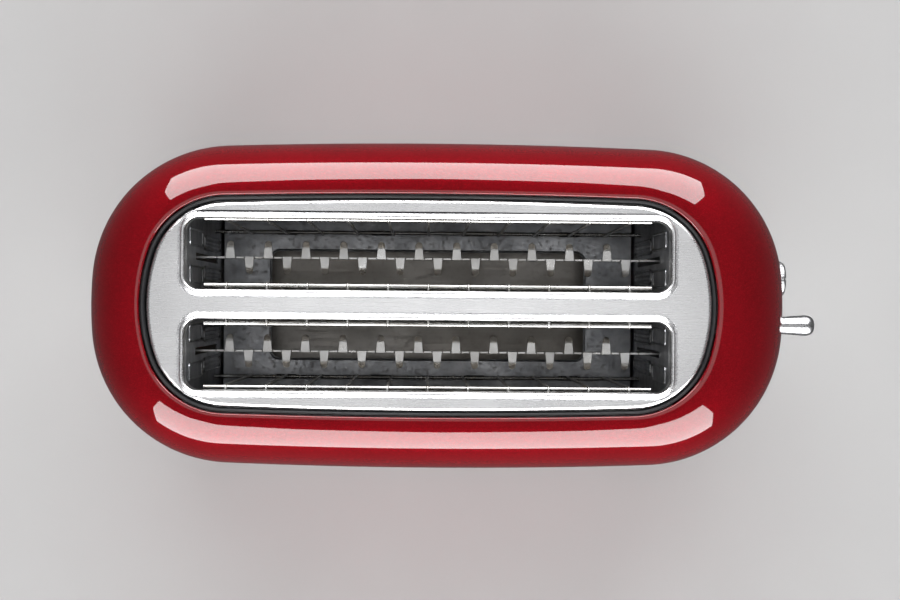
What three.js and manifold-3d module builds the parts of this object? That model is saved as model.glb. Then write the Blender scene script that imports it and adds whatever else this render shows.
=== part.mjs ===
// Long-slot pop-up toaster: two long bread slots side by side, the controls on the +X end, the crumb
// tray pulling out of the -X end. Millimetres, +Z up. The origin is on the table, under the middle of
// the object's overall length and width.
import * as THREE from "three";
import { ParametricGeometry } from "three/addons/geometries/ParametricGeometry.js";
import { mergeVertices } from "three/addons/utils/BufferGeometryUtils.js";
import Module from "manifold-3d";

const wasm = await Module();
wasm.setup();

// ---------------------------------------------------------------- driving dimensions

const BODY = { halfLength: 197, halfWidth: 93, endRadius: 220, cornerRadius: 80, sideRadius: 3200 };
const DECK_OPENING = { halfLength: 155, halfWidth: 60, endRadius: 91, cornerRadius: 44, sideRadius: 3800 };
const LEVER_REACH = 24; // how far the lever knob stands past the body's end
const BODY_X = -LEVER_REACH / 2; // the body's middle, so that the overall length is centred on the origin
const DECK_X = BODY_X - 6; // the deck and all it holds sit a little towards the tray end

const FOOT_HEIGHT = 6;
const BASE_TOP = 32;
const SHOULDER_Z = 132; // the wall is near upright below this and rolls inwards above it
const DECK_Z = 203; // top face of the slot plate
const SHELL_TOP = DECK_Z + 0.5;
const SHELL_WALL = 1.2;
const BARREL = 3; // how far the wall draws in at its foot
const ROLL_POWER = 2.3; // superellipse power of the shoulder's section

const SLOT_Y = 27; // centre line of each bread slot
const SLOT = { length: 260, width: 37, corner: 7 };
const LIP_WIDTH = 4; // raised bead round each slot
const LIP_RISE = 2.3;
const SHEET = 1.2; // chassis sheet metal

const CHASSIS_HALF = 131.5; // from the deck's middle to the inner face of each end plate
const GUARD_TOP_Z = 194;
const GUARD_PIVOT_Z = 76;
const GUARD_OFFSETS = [17.7, -16.7]; // outer and inner guard, from their slot's centre line
const WIRE_PITCH = 21.8;
const WIRE_COUNT = 11;

const RACK_Z = 138; // top edge of the bread racks with the lever up
const TOOTH_PITCH = 21.8;
const TOOTH_COUNT = 11;
const LIFT_DROP = 60; // lever travel down from rest
const LIFT_RAISE = 14; // lever travel up from rest

const LEVER = { y: -10, z: 126, armHalfHeight: 3.5 };
const DIAL = { y: 18, z: 80 };
const BUTTON = { y: 18, lowest: 102, pitch: 11, width: 13, height: 6.5 };
const GAP = 0.3;

// ---------------------------------------------------------------- materials

const finish = (color, roughness, metalness) =>
  new THREE.MeshStandardMaterial({ color, roughness, metalness });
const enamel = finish(0xa30016, 0.12, 0.0);
const brushed = finish(0xd4d4d6, 0.3, 1.0);
const chrome = finish(0xe6e6e8, 0.06, 1.0);
const blackPlastic = finish(0x1c1d1f, 0.45, 0.0);
const rubber = finish(0x141414, 0.9, 0.0);
const galvanised = finish(0x8b8e92, 0.42, 1.0);
const wireSteel = finish(0xc4c6c8, 0.25, 1.0);
const mica = finish(0xb9a98a, 0.6, 0.0);
const nichrome = finish(0x6d665e, 0.5, 1.0);
const boardGreen = finish(0x1d5c38, 0.5, 0.0);
const copperCoil = finish(0x9c4a1e, 0.4, 0.6);
const clearLens = finish(0xe8e8e0, 0.2, 0.0);
const brass = finish(0xb08d3f, 0.3, 1.0);

// ---------------------------------------------------------------- solids: three.js shapes joined and cut

// A closed geometry as a solid with its faces pointing out.
function solid(geometry) {
  const bare = geometry.clone();
  bare.deleteAttribute("normal");
  bare.deleteAttribute("uv");
  const merged = mergeVertices(bare, 1e-4);
  const corners = merged.index.array;
  const triangles = [];
  for (let i = 0; i < corners.length; i += 3) {
    const [a, b, c] = [corners[i], corners[i + 1], corners[i + 2]];
    if (a !== b && b !== c && c !== a) triangles.push(a, b, c);
  }
  const vertProperties = merged.attributes.position.array;
  const build = (triVerts) => new wasm.Manifold(new wasm.Mesh({ numProp: 3, vertProperties, triVerts }));
  const made = build(new Uint32Array(triangles));
  return made.volume() > 0 ? made : build(new Uint32Array(triangles.reverse()));
}

const union = (first, ...others) => others.reduce((whole, piece) => whole.add(piece), first);
const cut = (first, ...others) => others.reduce((whole, piece) => whole.subtract(piece), first);

// A solid as a geometry for a mesh.
function geometryOf(made) {
  const mesh = made.getMesh();
  const points = new Float32Array(mesh.numVert * 3);
  for (let i = 0; i < mesh.numVert; i++) {
    points.set(mesh.vertProperties.subarray(i * mesh.numProp, i * mesh.numProp + 3), i * 3);
  }
  const geometry = new THREE.BufferGeometry();
  geometry.setAttribute("position", new THREE.BufferAttribute(points, 3));
  geometry.setIndex(new THREE.BufferAttribute(mesh.triVerts, 1));
  geometry.computeVertexNormals();
  return geometry;
}

// A box by its lowest and highest corners.
function box([x0, y0, z0], [x1, y1, z1]) {
  const geometry = new THREE.BoxGeometry(x1 - x0, y1 - y0, z1 - z0);
  return solid(geometry.translate((x0 + x1) / 2, (y0 + y1) / 2, (z0 + z1) / 2));
}

const TURNS = {
  x: new THREE.Matrix4().makeRotationZ(-Math.PI / 2),
  y: new THREE.Matrix4(),
  z: new THREE.Matrix4().makeRotationX(Math.PI / 2),
};

// A round bar, or a cone where endRadius differs, that starts at a point and runs along an axis.
function bar(axis, start, length, radius, sides = 12, endRadius = radius) {
  const geometry = new THREE.CylinderGeometry(endRadius, radius, length, sides);
  geometry.translate(0, length / 2, 0).applyMatrix4(TURNS[axis]);
  return solid(geometry.translate(...start));
}

function roundedRectangle(width, height, radius, x = 0, y = 0) {
  const [w, h] = [width / 2, height / 2];
  const shape = new THREE.Shape();
  shape.absarc(x + w - radius, y + h - radius, radius, 0, Math.PI / 2);
  shape.absarc(x - w + radius, y + h - radius, radius, Math.PI / 2, Math.PI);
  shape.absarc(x - w + radius, y - h + radius, radius, Math.PI, 1.5 * Math.PI);
  shape.absarc(x + w - radius, y - h + radius, radius, 1.5 * Math.PI, 2 * Math.PI);
  return shape;
}

// A shape drawn in plan, raised from z0 to z1.
function raised(shape, z0, z1, curveSegments = 6) {
  const geometry = new THREE.ExtrudeGeometry(shape, { depth: z1 - z0, bevelEnabled: false, curveSegments });
  return solid(geometry.translate(0, 0, z0));
}

// Its rows send a drawing's across, up and out to Y, Z and X.
const FACING_X = new THREE.Matrix4().set(0, 0, 1, 0, 1, 0, 0, 0, 0, 1, 0, 0, 0, 0, 0, 1);

// A shape drawn across (Y) and up (Z), running along X from x0 to x1.
function along(shape, x0, x1, curveSegments = 4) {
  const geometry = new THREE.ExtrudeGeometry(shape, { depth: x1 - x0, bevelEnabled: false, curveSegments });
  return solid(geometry.applyMatrix4(FACING_X).translate(x0, 0, 0));
}

const panelX = (y0, z0, y1, z1, x0, x1) => box([x0, y0, z0], [x1, y1, z1]);

// ---------------------------------------------------------------- ovals and lofts

const RING_STEPS = { end: 3, corner: 7, side: 3 };

// One quarter of an oval as three tangent arcs, as points from the +X end round to the +Y side.
function quarterOval({ halfLength, halfWidth, endRadius, cornerRadius, sideRadius }, grow) {
  const end = new THREE.Vector2(halfLength - endRadius, 0);
  const side = new THREE.Vector2(0, halfWidth - sideRadius);
  const span = side.clone().sub(end);
  const distance = span.length();
  const toEnd = endRadius - cornerRadius;
  const toSide = sideRadius - cornerRadius;
  const forward = (toEnd ** 2 - toSide ** 2 + distance ** 2) / (2 * distance);
  const sideways = Math.sqrt(toEnd ** 2 - forward ** 2);
  span.divideScalar(distance);
  const corner = new THREE.Vector2(-span.y, span.x).multiplyScalar(sideways);
  corner.add(end).addScaledVector(span, forward);
  const endAngle = corner.clone().sub(end).angle();
  const sideAngle = corner.clone().sub(side).angle();
  const arcs = [
    [end, endRadius, 0, endAngle, RING_STEPS.end],
    [corner, cornerRadius, endAngle, sideAngle, RING_STEPS.corner],
    [side, sideRadius, sideAngle, Math.PI / 2, RING_STEPS.side],
  ];
  return arcs.flatMap(([centre, radius, from, to, steps]) =>
    Array.from({ length: steps }, (_, i) => {
      const angle = from + ((to - from) * i) / steps;
      return new THREE.Vector2(Math.cos(angle), Math.sin(angle)).multiplyScalar(radius + grow).add(centre);
    }),
  );
}

// The whole oval, anticlockwise, moved along X by at.
function ovalRing(oval, at = 0, grow = 0) {
  const quarter = quarterOval(oval, grow);
  const top = new THREE.Vector2(0, oval.halfWidth + grow);
  const right = new THREE.Vector2(oval.halfLength + grow, 0);
  const turn = (points, sx, sy) => points.map((p) => new THREE.Vector2(sx * p.x, sy * p.y));
  const back = [top, ...quarter.slice(1).reverse()];
  const ring = [
    ...quarter,
    ...turn(back, -1, 1),
    ...turn([right, ...quarter.slice(1)], -1, -1),
    ...turn(back, 1, -1),
  ];
  return ring.map((p) => p.setX(p.x + at));
}

// Levels are { ring, z }. A wall's levels run up its outside and down its inside, and close on themselves.
function loftedWall(levels) {
  const slices = levels[0].ring.length;
  const point = (u, v, target) => {
    const { ring, z } = levels[Math.round(v * levels.length) % levels.length];
    const p = ring[Math.round(u * slices) % slices];
    target.set(p.x, p.y, z);
  };
  return solid(new ParametricGeometry(point, slices, levels.length));
}

// A filled loft, closed by a point in the middle of its lowest and highest rings.
function loftedBlock(levels) {
  const centre = new THREE.Vector2();
  levels[0].ring.forEach((p) => centre.addScaledVector(p, 1 / levels[0].ring.length));
  const tip = levels[0].ring.map(() => centre);
  const closed = [{ ring: tip, z: levels[0].z }, ...levels, { ring: tip, z: levels.at(-1).z }];
  const slices = tip.length;
  const point = (u, v, target) => {
    const { ring, z } = closed[Math.round(v * (closed.length - 1))];
    const p = ring[Math.round(u * slices) % slices];
    target.set(p.x, p.y, z);
  };
  return solid(new ParametricGeometry(point, slices, closed.length - 1));
}

// How far the upright wall stands in from its widest line, at a height.
function drawIn(z) {
  const below = Math.max(0, (SHOULDER_Z - 40 - z) / (SHOULDER_Z - 40 - BASE_TOP));
  return BARREL * below ** 2;
}

// The body's skin as levels, inset by a wall thickness, from a height up to the deck opening.
function skin(fromZ, inset) {
  const heights = [fromZ, 60, 90, 120, SHOULDER_Z];
  const upright = heights.map((z) => ({ z, ring: ovalRing(BODY, BODY_X, -drawIn(z) - inset) }));
  const outer = ovalRing(BODY, BODY_X, -inset);
  const inner = ovalRing(DECK_OPENING, DECK_X, 0);
  const angles = [15, 30, 43, 55, 66, 76, 90];
  const shoulder = angles.map((degrees) => {
    const angle = THREE.MathUtils.degToRad(degrees);
    const share = Math.max(0, Math.cos(angle)) ** (2 / ROLL_POWER);
    const rise = Math.sin(angle) ** (2 / ROLL_POWER);
    const z = SHOULDER_Z + (SHELL_TOP - inset - SHOULDER_Z) * rise;
    return { z, ring: outer.map((p, i) => p.clone().lerp(inner[i], 1 - share)) };
  });
  return [...upright, ...shoulder];
}

// The inside of the body as a block, from its foot to its deck.
const bodyBlock = (inset) => loftedBlock(skin(BASE_TOP + GAP, inset));

// ---------------------------------------------------------------- the scene graph

const toaster = new THREE.Group();
toaster.name = "toaster";

function add(parent, name, material, made, position = [0, 0, 0]) {
  const mesh = new THREE.Mesh(geometryOf(made), material);
  mesh.name = name;
  mesh.position.set(...position);
  parent.add(mesh);
  return mesh;
}

function group(x = 0, y = 0, z = 0) {
  const made = new THREE.Group();
  made.position.set(x, y, z);
  toaster.add(made);
  return made;
}

// ---------------------------------------------------------------- outer housing

const FASCIA = { width: 66, low: 46, high: 150, corner: 12, y: 3 };
const FASCIA_THICK = 3;
const SIDES = [["left", 1], ["right", -1]];

function fasciaOutline(grow) {
  const height = FASCIA.high - FASCIA.low;
  const middle = (FASCIA.high + FASCIA.low) / 2;
  return roundedRectangle(FASCIA.width + 2 * grow, height + 2 * grow, FASCIA.corner + grow, FASCIA.y, middle);
}

function housingShell() {
  const outside = skin(BASE_TOP + GAP, 0);
  const inside = skin(BASE_TOP + GAP, SHELL_WALL).reverse();
  const hem = { ring: ovalRing(DECK_OPENING, DECK_X, 0), z: SHELL_TOP - 4 };
  const wall = loftedWall([...outside, hem, ...inside.slice(1)]);
  return cut(wall, along(fasciaOutline(GAP), BODY_X + 150, BODY_X + 220));
}

const BUTTONS = [0, 1, 2, 3].map((i) => BUTTON.lowest + BUTTON.pitch * i);
const SLOT_FOOT = LEVER.z - LIFT_DROP - LEVER.armHalfHeight - 3;
const SLOT_HEAD = LEVER.z + LIFT_RAISE + LEVER.armHalfHeight + 3;

function controlFascia() {
  const blank = along(fasciaOutline(0), BODY_X + 150, BODY_X + 220);
  const curved = cut(blank.intersect(bodyBlock(0)), bodyBlock(FASCIA_THICK));
  const through = [BODY_X + 170, BODY_X + 220];
  const slotHeight = SLOT_HEAD - SLOT_FOOT;
  const leverSlot = roundedRectangle(6, slotHeight, 2.9, LEVER.y, (SLOT_HEAD + SLOT_FOOT) / 2);
  const windows = BUTTONS.map((z) =>
    along(roundedRectangle(BUTTON.width + 0.8, BUTTON.height + 0.8, 3.4, BUTTON.y, z), ...through),
  );
  const dialHole = bar("x", [through[0], DIAL.y, DIAL.z], 50, 4, 16);
  const lamps = box([through[0], LAMP_Y - 1.3, BUTTONS[0] - 2], [through[1], LAMP_Y + 1.3, BUTTONS[3] + 2]);
  return cut(curved, along(leverSlot, ...through), dialHole, lamps, ...windows);
}

const LAMP_Y = BUTTON.y + 11.5;

// One clear strip that carries light to a window beside each button.
function indicatorLens() {
  const front = BODY_X + BODY.halfLength - 4.2;
  return box([front - 4, LAMP_Y - 1, BUTTONS[0] - 1.6], [front + 1.6, LAMP_Y + 1, BUTTONS[3] + 1.6]);
}

function buildHousing() {
  const parent = group();
  add(parent, "housing_shell", enamel, housingShell());
  add(parent, "control_fascia", brushed, controlFascia());
  add(parent, "indicator_lens", clearLens, indicatorLens());
}

// ---------------------------------------------------------------- deck: slot plate and black trim ring

const PLATE = { halfLength: 150.8, halfWidth: 56.4, endRadius: 88, cornerRadius: 40, sideRadius: 2950 };
const TRIM_TOP = DECK_Z - 0.4;

function slotShape(grow, y) {
  return roundedRectangle(SLOT.length + 2 * grow, SLOT.width + 2 * grow, SLOT.corner + grow, 0, y);
}

// The plate is pressed from one sheet: an outer hem, and a bead and a downturned lip round each slot.
function deckPlate() {
  const disc = loftedBlock([DECK_Z - 1, DECK_Z].map((z) => ({ z, ring: ovalRing(PLATE) })));
  const hem = loftedWall([
    { z: DECK_Z - 6, ring: ovalRing(PLATE) },
    { z: DECK_Z - 0.5, ring: ovalRing(PLATE) },
    { z: DECK_Z - 0.5, ring: ovalRing(PLATE, 0, -1) },
    { z: DECK_Z - 6, ring: ovalRing(PLATE, 0, -1) },
  ]);
  const bySlot = (grow, z0, z1) => SIDES.map(([, side]) => raised(slotShape(grow, side * SLOT_Y), z0, z1));
  const beads = bySlot(LIP_WIDTH, DECK_Z - 0.5, DECK_Z + 1.4);
  const crests = bySlot(LIP_WIDTH - 1, DECK_Z, DECK_Z + LIP_RISE);
  const lips = bySlot(1, DECK_Z - 6, DECK_Z);
  const openings = bySlot(0, DECK_Z - 20, DECK_Z + 20);
  return cut(union(disc, hem, ...beads, ...crests, ...lips), ...openings);
}

function trimRing() {
  const outer = -0.4;
  const inner = PLATE.halfWidth + GAP - DECK_OPENING.halfWidth;
  const edge = (grow, z) => ({ z, ring: ovalRing(DECK_OPENING, 0, grow) });
  return loftedWall([
    edge(outer, DECK_Z - 7),
    edge(outer, TRIM_TOP - 1),
    edge(outer - 0.9, TRIM_TOP),
    edge(inner + 0.7, TRIM_TOP),
    edge(inner, TRIM_TOP - 1),
    edge(inner, DECK_Z - 7),
  ]);
}

function buildDeck() {
  const parent = group(DECK_X);
  add(parent, "deck_plate", brushed, deckPlate());
  add(parent, "deck_trim_ring", blackPlastic, trimRing());
}

// ---------------------------------------------------------------- base, feet, crumb tray, cord gland

const BASE_WALL = 3;
const FLOOR_TOP = FOOT_HEIGHT + 3;
const TRAY = { halfWidth: 42, low: 12.5, high: 21, rear: -195, front: 108 };
const GLAND = { x: -112, z: 19, bore: 3.8 }; // the cord leaves through the back of the base
const SCREW_Y = 60;
const END_PLATES = [["rear", -1], ["front", 1]];
const screwX = (end) => DECK_X + end * (CHASSIS_HALF + 8);
const SCREWS = END_PLATES.flatMap(([, end]) => SIDES.map(([, side]) => [screwX(end), side * SCREW_Y]));
const FEET = [1, -1].flatMap((end) => [1, -1].map((side) => [BODY_X + end * 155, side * 50]));

function basePan() {
  const level = (z, grow) => ({ z, ring: ovalRing(BODY, BODY_X, grow) });
  const outside = loftedBlock([level(FOOT_HEIGHT, -10), level(FOOT_HEIGHT + 5, -6.5), level(BASE_TOP, -5)]);
  const inside = loftedBlock([level(FLOOR_TOP, -11), level(BASE_TOP + 1, -5 - BASE_WALL)]);
  const rails = SIDES.map(([, side]) => {
    const [near, far] = [side * (TRAY.halfWidth + 0.6), side * (TRAY.halfWidth + 3)].sort((a, b) => a - b);
    return box([-192, near, FLOOR_TOP - 1], [TRAY.front + 4, far, 25]);
  });
  const bosses = SCREWS.map(([x, y]) => bar("z", [x, y, FLOOR_TOP - 1], 12, 4.5, 12));
  const bossHoles = SCREWS.map(([x, y]) => bar("z", [x, y, 0], 40, 2, 10));
  const screwWells = SCREWS.map(([x, y]) => bar("z", [x, y, 0], FLOOR_TOP + 0.2, 4.2, 12));
  const vents = [-4, -3, -2, -1, 0, 1, 2, 3, 4].map((i) =>
    raised(roundedRectangle(6, 60, 2.9, DECK_X + i * 22, 0), 0, FLOOR_TOP + 1, 3),
  );
  const trayMouth = panelX(-TRAY.halfWidth - 1.2, 11, TRAY.halfWidth + 1.2, 25.5, -230, -180);
  const glandHole = bar("y", [GLAND.x, 60, GLAND.z], 60, 5.6, 16);
  const body = union(cut(outside, inside), ...rails, ...bosses);
  return cut(body, trayMouth, glandHole, ...bossHoles, ...screwWells, ...vents);
}

function crumbTray() {
  const { halfWidth: w, low, high, rear, front } = TRAY;
  const pan = box([rear, -w, low], [front, w, high]);
  return cut(pan, box([rear + 1.2, -w + 1.2, low + 1.2], [front - 1.2, w - 1.2, high + 1]));
}

// The tray's front follows the base's wall and has a hollow under its lip for the fingertips.
function trayHandle() {
  const level = (z, grow) => ({ z, ring: ovalRing(BODY, BODY_X, grow) });
  const wall = loftedBlock([level(FOOT_HEIGHT, -8), level(FOOT_HEIGHT + 5, -5.5), level(BASE_TOP, -3.5)]);
  const w = TRAY.halfWidth + 0.6;
  const front = wall.intersect(box([-230, -w, 11.6], [TRAY.rear - GAP, w, 24.9]));
  const grip = raised(roundedRectangle(24, 52, 10, -212, 0), 10, 18.5);
  return cut(front, grip);
}

function cordGland() {
  const neck = bar("y", [0, -7, 0], 12, 5.2, 16, 4.8);
  const collar = bar("y", [0, 1.2, 0], 2.4, 7.4, 16);
  const barb = bar("y", [0, -7, 0], 2, 7, 16);
  return cut(union(neck, collar, barb), bar("y", [0, -40, 0], 80, GLAND.bore, 16));
}

function screw() {
  const head = bar("z", [0, 0, 0], 2.4, 3.8, 12, 3.6);
  const shank = bar("z", [0, 0, 2], 15, 1.7, 8);
  const slots = [box([-0.5, -2.4, -1], [0.5, 2.4, 1]), box([-2.4, -0.5, -1], [2.4, 0.5, 1])];
  return cut(union(head, shank), ...slots);
}

function foot() {
  const pad = bar("z", [0, 0, 0], FOOT_HEIGHT - 0.2, 9, 16, 10);
  return cut(pad, bar("z", [0, 0, -1], 2, 4, 12));
}

function buildBase() {
  const parent = group();
  add(parent, "base_pan", blackPlastic, basePan());
  add(parent, "crumb_tray", galvanised, crumbTray());
  add(parent, "crumb_tray_handle", blackPlastic, trayHandle());
  add(parent, "cord_gland", rubber, cordGland(), [GLAND.x, BODY.halfWidth - 7.7, GLAND.z]);
  SCREWS.forEach(([x, y], i) => add(parent, `base_screw_${i + 1}`, wireSteel, screw(), [x, y, 6.6]));
  FEET.forEach(([x, y], i) => add(parent, `foot_${i + 1}`, rubber, foot(), [x, y, 0]));
}

// ---------------------------------------------------------------- chassis and heating elements

const CHASSIS_TOP = 192;
const CHASSIS_FLOOR = 46;
const FLOOR_GAP = 1.5; // between the chassis floor and each end plate
const GUARD_YS = SIDES.flatMap(([, side]) => GUARD_OFFSETS.map((offset) => side * (SLOT_Y + offset)));
const TAB_Z = 20.6;
const RACK_SLOT = { low: RACK_Z - LIFT_DROP - 12, high: RACK_Z + LIFT_RAISE + 4, width: 4 };
const RIB = { low: 58, high: 124, near: 5, far: 13 };

// An end plate in its own frame: x = 0 is the face towards the slots, and outwards is +X.
function endPlate() {
  const sheet = panelX(-64, 30, 64, CHASSIS_TOP, 0, SHEET);
  const legs = [1, -1].map((side) => box([0, side * SCREW_Y - 6, TAB_Z], [SHEET, side * SCREW_Y + 6, 40]));
  const tabs = [1, -1].map((side) =>
    box([0, side * SCREW_Y - 6, TAB_Z], [14, side * SCREW_Y + 6, TAB_Z + SHEET]),
  );
  const tabHoles = [1, -1].map((side) => bar("z", [8, side * SCREW_Y, 10], 20, 2.1, 10));
  const ribs = SIDES.flatMap(([, side]) =>
    [1, -1].map((way) => {
      const [a, b] = [side * SLOT_Y + way * RIB.near, side * SLOT_Y + way * RIB.far].sort((p, q) => p - q);
      return box([-1, a, RIB.low], [SHEET / 2, b, RIB.high]);
    }),
  );
  const slotHeight = RACK_SLOT.high - RACK_SLOT.low;
  const slotMiddle = (RACK_SLOT.high + RACK_SLOT.low) / 2;
  const rackSlots = SIDES.map(([, side]) =>
    along(roundedRectangle(RACK_SLOT.width, slotHeight, 1.9, side * SLOT_Y, slotMiddle), -5, 5),
  );
  const pivots = GUARD_YS.map((y) => bar("x", [-5, y, GUARD_PIVOT_Z], 10, 1.6, 12));
  return cut(union(sheet, ...legs, ...tabs, ...ribs), ...rackSlots, ...pivots, ...tabHoles);
}

function chassisFloor() {
  const reach = CHASSIS_HALF - FLOOR_GAP;
  const sheet = box([-reach, -58, CHASSIS_FLOOR], [reach, 58, CHASSIS_FLOOR + SHEET]);
  return cut(sheet, raised(roundedRectangle(199, 68, 5), CHASSIS_FLOOR - 5, CHASSIS_FLOOR + 5, 3));
}

// A side reflector, with its top and bottom edges folded outwards to stiffen it.
function reflector(side) {
  const x = CHASSIS_HALF - GAP;
  const low = CHASSIS_FLOOR + SHEET + GAP;
  const [y0, y1] = [side * 56, side * 57].sort((a, b) => a - b);
  const [f0, f1] = [side * 56, side * 63].sort((a, b) => a - b);
  const face = box([-x, y0, low], [x, y1, CHASSIS_TOP]);
  const folds = [low, CHASSIS_TOP - 1].map((z) => box([-x, f0, z], [x, f1, z + 1]));
  return union(face, ...folds);
}

const ELEMENT = { halfLength: 122, low: 58, high: 178, thick: 0.8 };
// Each element faces the bread: y is the board's face that carries the ribbon, and way is where it looks.
const ELEMENTS = [
  ["outer_left", 53, -1],
  ["inner_left", 4.4, 1],
  ["inner_right", -4.4, -1],
  ["outer_right", -53, 1],
];

function elementBoard(y, way) {
  const [y0, y1] = [y, y - way * ELEMENT.thick].sort((a, b) => a - b);
  return box([-ELEMENT.halfLength, y0, ELEMENT.low], [ELEMENT.halfLength, y1, ELEMENT.high]);
}

const RIBBON = { runs: 9, width: 1.6, thick: 0.5, reach: 112 };

// The heating ribbon runs back and forth along the board, one run above another.
function elementRibbon(y, way) {
  const pitch = (ELEMENT.high - ELEMENT.low - 16) / (RIBBON.runs - 1);
  const [y0, y1] = [y + way * 0.2, y + way * (0.2 + RIBBON.thick)].sort((a, b) => a - b);
  const pieces = [];
  for (let i = 0; i < RIBBON.runs; i++) {
    const z = ELEMENT.low + 8 + i * pitch;
    pieces.push(box([-RIBBON.reach, y0, z], [RIBBON.reach, y1, z + RIBBON.width]));
    if (i < RIBBON.runs - 1) {
      const x = (i % 2 ? -1 : 1) * (RIBBON.reach - RIBBON.width / 2);
      const [x0, x1] = [x - RIBBON.width / 2, x + RIBBON.width / 2];
      pieces.push(box([x0, y0, z], [x1, y1, z + pitch + RIBBON.width]));
    }
  }
  return union(...pieces);
}

function buildChassis() {
  const parent = group(DECK_X);
  add(parent, "end_plate_front", galvanised, endPlate(), [CHASSIS_HALF, 0, 0]);
  const rear = add(parent, "end_plate_rear", galvanised, endPlate(), [-CHASSIS_HALF, 0, 0]);
  rear.rotation.z = Math.PI;
  add(parent, "chassis_floor", galvanised, chassisFloor());
  SIDES.forEach(([name, side]) => add(parent, `reflector_${name}`, galvanised, reflector(side)));
  ELEMENTS.forEach(([name, y, way]) => {
    add(parent, `element_board_${name}`, mica, elementBoard(y, way));
    add(parent, `heating_ribbon_${name}`, nichrome, elementRibbon(y, way));
  });
}

// ---------------------------------------------------------------- bread guards

const GUARD_BAR = 1.1;
const GUARD_WIRE = 0.8;
const wireXs = Array.from({ length: WIRE_COUNT }, (_, i) => (i - (WIRE_COUNT - 1) / 2) * WIRE_PITCH);

// A guard in its own frame: the pivot bar runs along X through the origin, and the bread is on the -Y
// side. The crank at the front end is where the lift closes the guard on the bread.
function guard() {
  const height = GUARD_TOP_Z - GUARD_PIVOT_Z;
  const pivot = bar("x", [-CHASSIS_HALF - 3, 0, 0], 2 * CHASSIS_HALF + 7, GUARD_BAR, 8);
  const top = bar("x", [-121, 0, height], 242, GUARD_BAR, 8);
  const crank = bar("y", [CHASSIS_HALF + 3.2, -0.6, 0], 9.4, 0.9, 6);
  const wires = wireXs.flatMap((x) => [
    bar("z", [x, -0.9, -0.5], height + 1.8, GUARD_WIRE, 6),
    bar("y", [x, -1.2, height + 1.5], 4, 0.7, 6),
  ]);
  return union(pivot, top, crank, ...wires);
}

function buildGuards() {
  const parent = group(DECK_X);
  SIDES.forEach(([name, side]) => {
    GUARD_OFFSETS.forEach((offset) => {
      const [place, way] = offset > 0 ? ["outer", 1] : ["inner", -1];
      const y = side * (SLOT_Y + offset);
      const mesh = add(parent, `guard_${name}_${place}`, wireSteel, guard(), [0, y, GUARD_PIVOT_Z]);
      // A guard whose bread is on its +Y side faces the other way, with its crank still at the front.
      if (side * way < 0) mesh.scale.y = -1;
    });
  });
}

// ---------------------------------------------------------------- bread lift: racks, carriage, lever

const TOOTH = { length: 9.6, root: 5.4, tip: 4, thick: 0.9 };
const ROD = { x: 152, radius: 3 };
const FRONT_FACE = DECK_X + CHASSIS_HALF + SHEET; // front side of the front end plate
const BRIDGE_X = FRONT_FACE + 8;
const SPRING_X = ROD.x - 15;
const POP_SPRING = { turns: 11, radius: 4, wire: 0.7, low: RACK_Z + 8, high: 186 };

function tooth(x, way) {
  const half = TOOTH.root / 2;
  const narrow = TOOTH.tip / 2;
  const outline = new THREE.Shape();
  outline.moveTo(x - half, 0);
  outline.lineTo(x + half, 0);
  outline.lineTo(x + narrow, way * (TOOTH.length - narrow));
  outline.absarc(x, way * (TOOTH.length - narrow), narrow, 0, way * Math.PI, way < 0);
  outline.closePath();
  return raised(outline, RACK_Z - TOOTH.thick, RACK_Z, 4);
}

// A rack is a thin upright strip with teeth folded to either side in turn. The bread stands on them.
function rack() {
  const rear = DECK_X - CHASSIS_HALF - 5;
  const strip = box([rear, -0.6, RACK_Z - 9], [BRIDGE_X - 1, 0.6, RACK_Z - 0.2]);
  const foldedTip = box([BRIDGE_X - 1.5, -5, RACK_Z - 8.5], [BRIDGE_X - GAP, 5, RACK_Z - 0.5]);
  const teeth = [1, -1].flatMap((way) =>
    Array.from({ length: TOOTH_COUNT }, (_, i) => {
      const x = DECK_X + (i - (TOOTH_COUNT - 1) / 2) * TOOTH_PITCH - way * (TOOTH_PITCH / 4);
      return tooth(x, way);
    }),
  );
  return union(strip, foldedTip, ...teeth);
}

// The bridge joins both racks and holds the sleeve that slides on the guide rod.
function liftBridge() {
  const [x0, x1] = [BRIDGE_X, BRIDGE_X + 2];
  const cross = panelX(-SLOT_Y - 7, RACK_Z - 12, SLOT_Y + 7, RACK_Z + 2, x0, x1);
  const arm = box([x0, -9, RACK_Z - 12], [ROD.x, 9, RACK_Z - 10]);
  const collar = bar("z", [ROD.x, 0, RACK_Z - 24], 30, 8, 20);
  const bore = bar("z", [ROD.x, 0, 0], 250, 5.6, 20);
  const magnetArm = box([x0, 12, RACK_Z - 12], [ROD.x + 8, 30, RACK_Z - 10]);
  const magnetWeb = box([x0, 6, RACK_Z - 12], [x0 + 4, 30, RACK_Z - 10]);
  const springPost = box([SPRING_X - 1, -1, RACK_Z - 11], [SPRING_X + 1, 1, POP_SPRING.low - 2]);
  const springSeat = bar("z", [SPRING_X, 0, POP_SPRING.low - 2.6], 1.5, 5, 12);
  return cut(union(cross, arm, collar, magnetArm, magnetWeb, springPost, springSeat), bore);
}

function sleeve() {
  const tube = bar("z", [0, 0, -24.3], 30.6, 5.3, 20);
  return cut(tube, bar("z", [0, 0, -40], 80, ROD.radius + 0.3, 20));
}

// The lever arm is a flat bar from the bridge's collar out through the fascia's slot.
function leverArm() {
  const [low, high] = [LEVER.z - LEVER.armHalfHeight, LEVER.z + LEVER.armHalfHeight];
  const start = ROD.x + 8.5;
  const flag = box([start, LEVER.y - 1, low], [BODY_X + BODY.halfLength + 4, LEVER.y + 1, high]);
  const foot = box([start, LEVER.y - 1, low], [start + 2, 7, high]);
  return union(flag, foot);
}

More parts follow.
